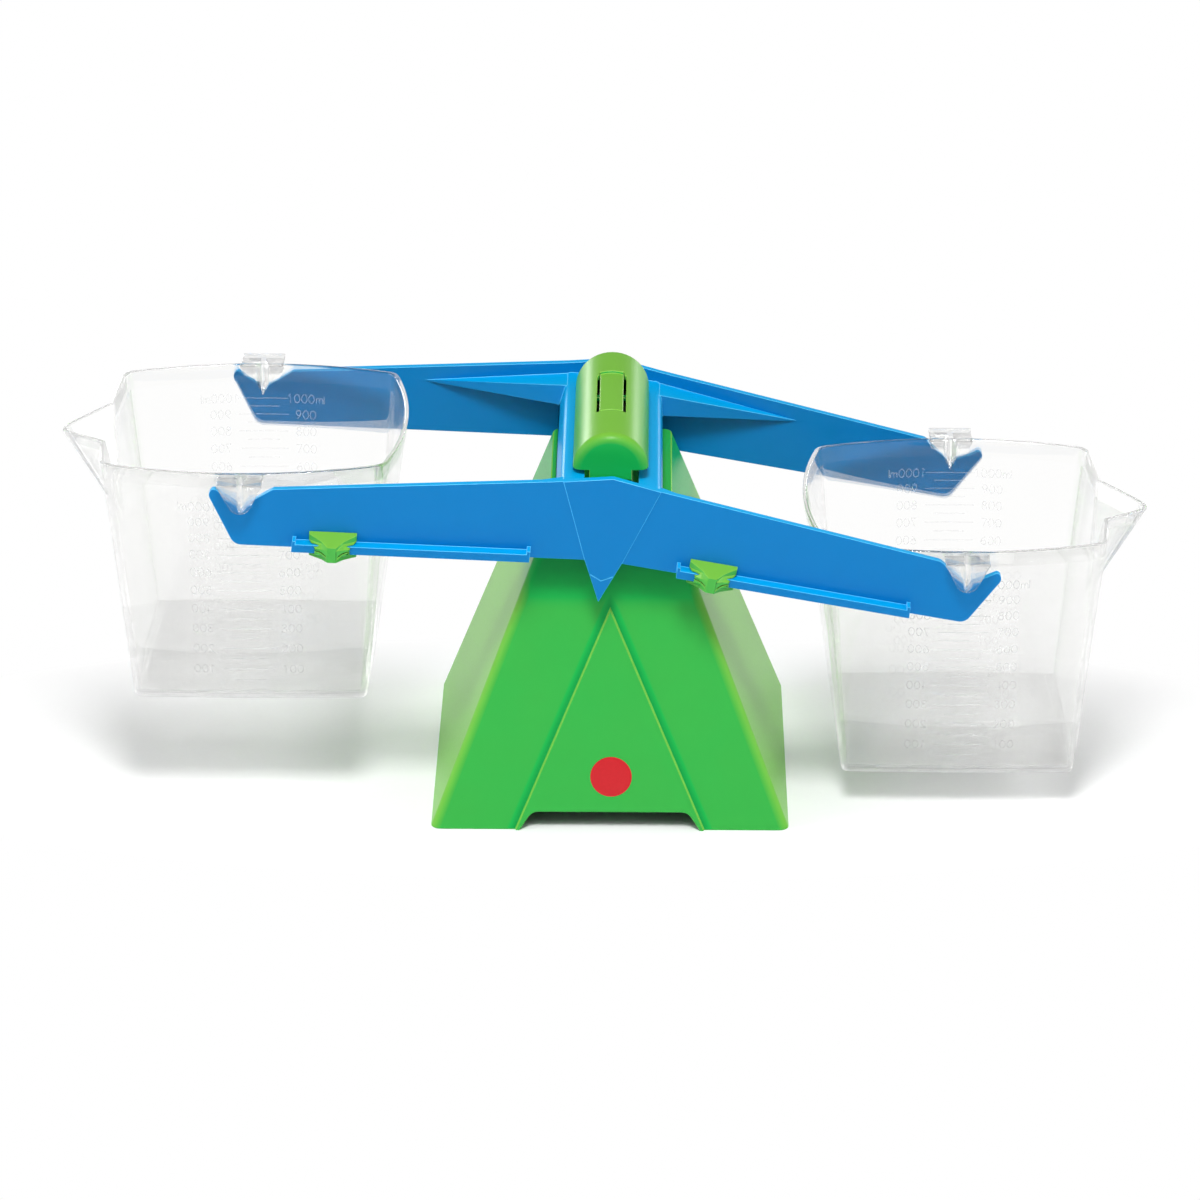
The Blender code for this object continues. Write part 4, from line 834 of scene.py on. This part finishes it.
def studio_world():
    """White to the camera; gloss and clear walls meet white low behind and a dim room elsewhere."""
    world = bpy.data.worlds.new("studio")
    world.use_nodes = True
    tree = world.node_tree
    tree.nodes.clear()
    camera_ray, sent_ray = seen_rays(tree)
    heading = add(tree, "ShaderNodeTexCoord").outputs["Generated"]
    way = add(tree, "ShaderNodeSeparateXYZ", {"Vector": heading})
    behind = add(tree, "ShaderNodeMapRange", {
        "Value": way.outputs["Y"], "From Min": SWEEP_BEHIND[0], "From Max": SWEEP_BEHIND[1]})
    low = add(tree, "ShaderNodeMapRange", {
        "Value": way.outputs["Z"], "From Min": SWEEP_LOW[0], "From Max": SWEEP_LOW[1],
        "To Min": 1.0, "To Max": 0.0})
    sweep = add(tree, "ShaderNodeMath", {0: behind.outputs["Result"], 1: low.outputs["Result"]},
                operation="MULTIPLY")
    met = add(tree, "ShaderNodeMath", {0: sent_ray, 1: sweep.outputs["Value"]},
              operation="MULTIPLY")
    shown = add(tree, "ShaderNodeMath", {0: camera_ray, 1: met.outputs["Value"]},
                operation="MAXIMUM")
    level = add(tree, "ShaderNodeMapRange", {
        "Value": shown.outputs["Value"], "To Min": WORLD_LIGHT, "To Max": 1.0})
    lit = add(tree, "ShaderNodeBackground", {
        "Color": (1, 1, 1, 1), "Strength": level.outputs["Result"]})
    add(tree, "ShaderNodeOutputWorld", {"Surface": lit.outputs["Background"]})
    return world


def studio_paper():
    """White paper sweep: keeps the shadow near the object, and turns pure white away from it."""
    made, tree = new_material("studio_paper")
    place = add(tree, "ShaderNodeTexCoord").outputs["Object"]
    fibre = add(tree, "ShaderNodeTexNoise", {
        "Vector": place, "Scale": pattern_scale(FIBRE_MM), "Detail": 3.0})
    tone = add(tree, "ShaderNodeValToRGB", {"Fac": fibre.outputs["Fac"]})
    tone.color_ramp.elements[0].color = linear("#F8F8F8")
    tone.color_ramp.elements[1].color = linear("#FCFCFC")
    paper = add(tree, "ShaderNodeBsdfDiffuse", {"Color": tone.outputs["Color"]})
    camera_ray, sent_ray = seen_rays(tree)
    shown = add(tree, "ShaderNodeMath", {0: camera_ray, 1: sent_ray}, operation="MAXIMUM")
    spread = add(tree, "ShaderNodeMapping", {"Vector": place, "Scale": (1.0, FLOOR_DEPTH, 1.0)})
    away = add(tree, "ShaderNodeVectorMath", {0: spread.outputs["Vector"]}, operation="LENGTH")
    far = add(tree, "ShaderNodeMapRange", {
        "Value": away.outputs["Value"], "From Min": FLOOR_CLEARS[0], "From Max": FLOOR_CLEARS[1]})
    lift = add(tree, "ShaderNodeMath", {0: shown.outputs["Value"], 1: far.outputs["Result"]},
               operation="MULTIPLY")
    glow = add(tree, "ShaderNodeEmission", {"Color": (1, 1, 1, 1), "Strength": 1.0})
    both = add(tree, "ShaderNodeMixShader", {
        0: lift.outputs["Value"], 1: paper.outputs["BSDF"], 2: glow.outputs["Emission"]})
    add(tree, "ShaderNodeOutputMaterial", {"Surface": both.outputs["Shader"]})
    return made


def set_floor():
    """Lay the paper that the object stands on."""
    corners = [(-FLOOR_REACH, -FLOOR_REACH, 0), (FLOOR_REACH, -FLOOR_REACH, 0),
               (FLOOR_REACH, FLOOR_REACH, 0), (-FLOOR_REACH, FLOOR_REACH, 0)]
    mesh = bpy.data.meshes.new("floor")
    mesh.from_pydata(corners, [], [(0, 1, 2, 3)])
    mesh.materials.append(studio_paper())
    floor = bpy.data.objects.new("floor", mesh)
    scene.collection.objects.link(floor)


def set_camera():
    """Place the camera where the photograph's stood."""
    camera = bpy.data.cameras.new("camera")
    camera.lens = CAMERA_LENS
    camera.sensor_width = CAMERA_SENSOR
    camera.clip_end = CAMERA_SIGHT
    holder = bpy.data.objects.new("camera", camera)
    away = Vector((math.sin(CAMERA_TURN) * math.cos(CAMERA_RISE),
                   -math.cos(CAMERA_TURN) * math.cos(CAMERA_RISE), math.sin(CAMERA_RISE)))
    holder.location = CAMERA_AIM + away * CAMERA_REACH
    holder.rotation_euler = (-away).to_track_quat("-Z", "Y").to_euler()
    scene.collection.objects.link(holder)
    scene.camera = holder


# What the record says of each node: its slot, its body and, of a bucket, where it hangs
slot_of = {entry["node"]: entry["material_slot"] for entry in record["subparts"]}
body_of = {node: body for body, nodes in record["behaviour"]["bodies"].items() for node in nodes}
hang_of = {joint["child"]: Vector(joint["pos_m"]) for joint in frame["joints"] if "pos_m" in joint}

set_floor()
for light in LIGHTS:
    softbox(*light)
scene.world = studio_world()
set_camera()
scene.view_settings.view_transform = "Standard"

# Faces and edges of each slot's pieces, each colour ramp running from painted shade on faces that
# look down to painted light on those that look up or to the sides: the edges are glossier, and
# their lighter colours are painted highlights. The acetal inserts are waxy white and duller than
# the ABS.
steel = drawn_steel()
acetal = moulded_plastic("white_acetal", ("#D6D6D2", "#E2E2DE", "#E6E6E2", "#EAEAE6"), 0.42)
finishes = {
    "stand_green": (
        # Green with painted shade at the foot of the front panel and under the beam
        moulded_plastic("green_abs", ("#009944", "#18B24C", "#3AAE46", "#74BE40"), 0.32,
                        painted_shade=stand_painted_shade),
        moulded_plastic("green_abs_edge_highlights", ("#2FAE4C", "#3FB149", "#55B548", "#7AC24C"), 0.25)),
    "lime_green": (
        moulded_plastic("lime_abs", ("#00A048", "#18B24C", "#42AE45", "#72B23B"), 0.32,
                        ROUND_SIDE_PAINTED_LIGHT),
        moulded_plastic("lime_abs_edge_highlights", LIME_EDGE_HIGHLIGHTS, 0.25)),
    "beam_blue": (
        moulded_plastic("blue_abs", ("#0066AB", "#0079BE", "#0086CA", "#00A3E2"), 0.34),
        moulded_plastic("blue_abs_edge_highlights", ("#0E8FD6", "#35A8E4", "#45B4EC", "#60C6F4"), 0.26)),
    "bearing_plastic": (acetal, acetal),
    "axle_steel": (steel, steel),
}
clip_finish = (
    moulded_plastic("clip_abs", ("#2F9E45", "#4BB049", "#58B447", "#70B43C"), 0.32,
                    ROUND_SIDE_PAINTED_LIGHT),
    moulded_plastic("clip_abs_edge_highlights", LIME_EDGE_HIGHLIGHTS, 0.25))
clear = clear_styrene("clear_styrene", WALL_SHOWS)
clear_rim = clear_styrene("clear_styrene_rim", RIM_SHOWS)
frosted = frosted_styrene()

numbers = flat_numbers()
marks = flat_marks(mark_tree(frosted))
for node in sorted(frame["nodes"]):
    if slot_of[node] == "clear_plastic":
        out = 1 if hang_of[node].x > 0 else -1
        bucket = clear_bucket(node, out, clear, clear_rim)
        wrap_on_walls((numbers, marks), bucket, node, frosted)
    else:
        clip = node.startswith("compensator")
        moulded_copy(node, body_of[node], *(clip_finish if clip else finishes[slot_of[node]]))
printed_disc(pad_printed_ink())
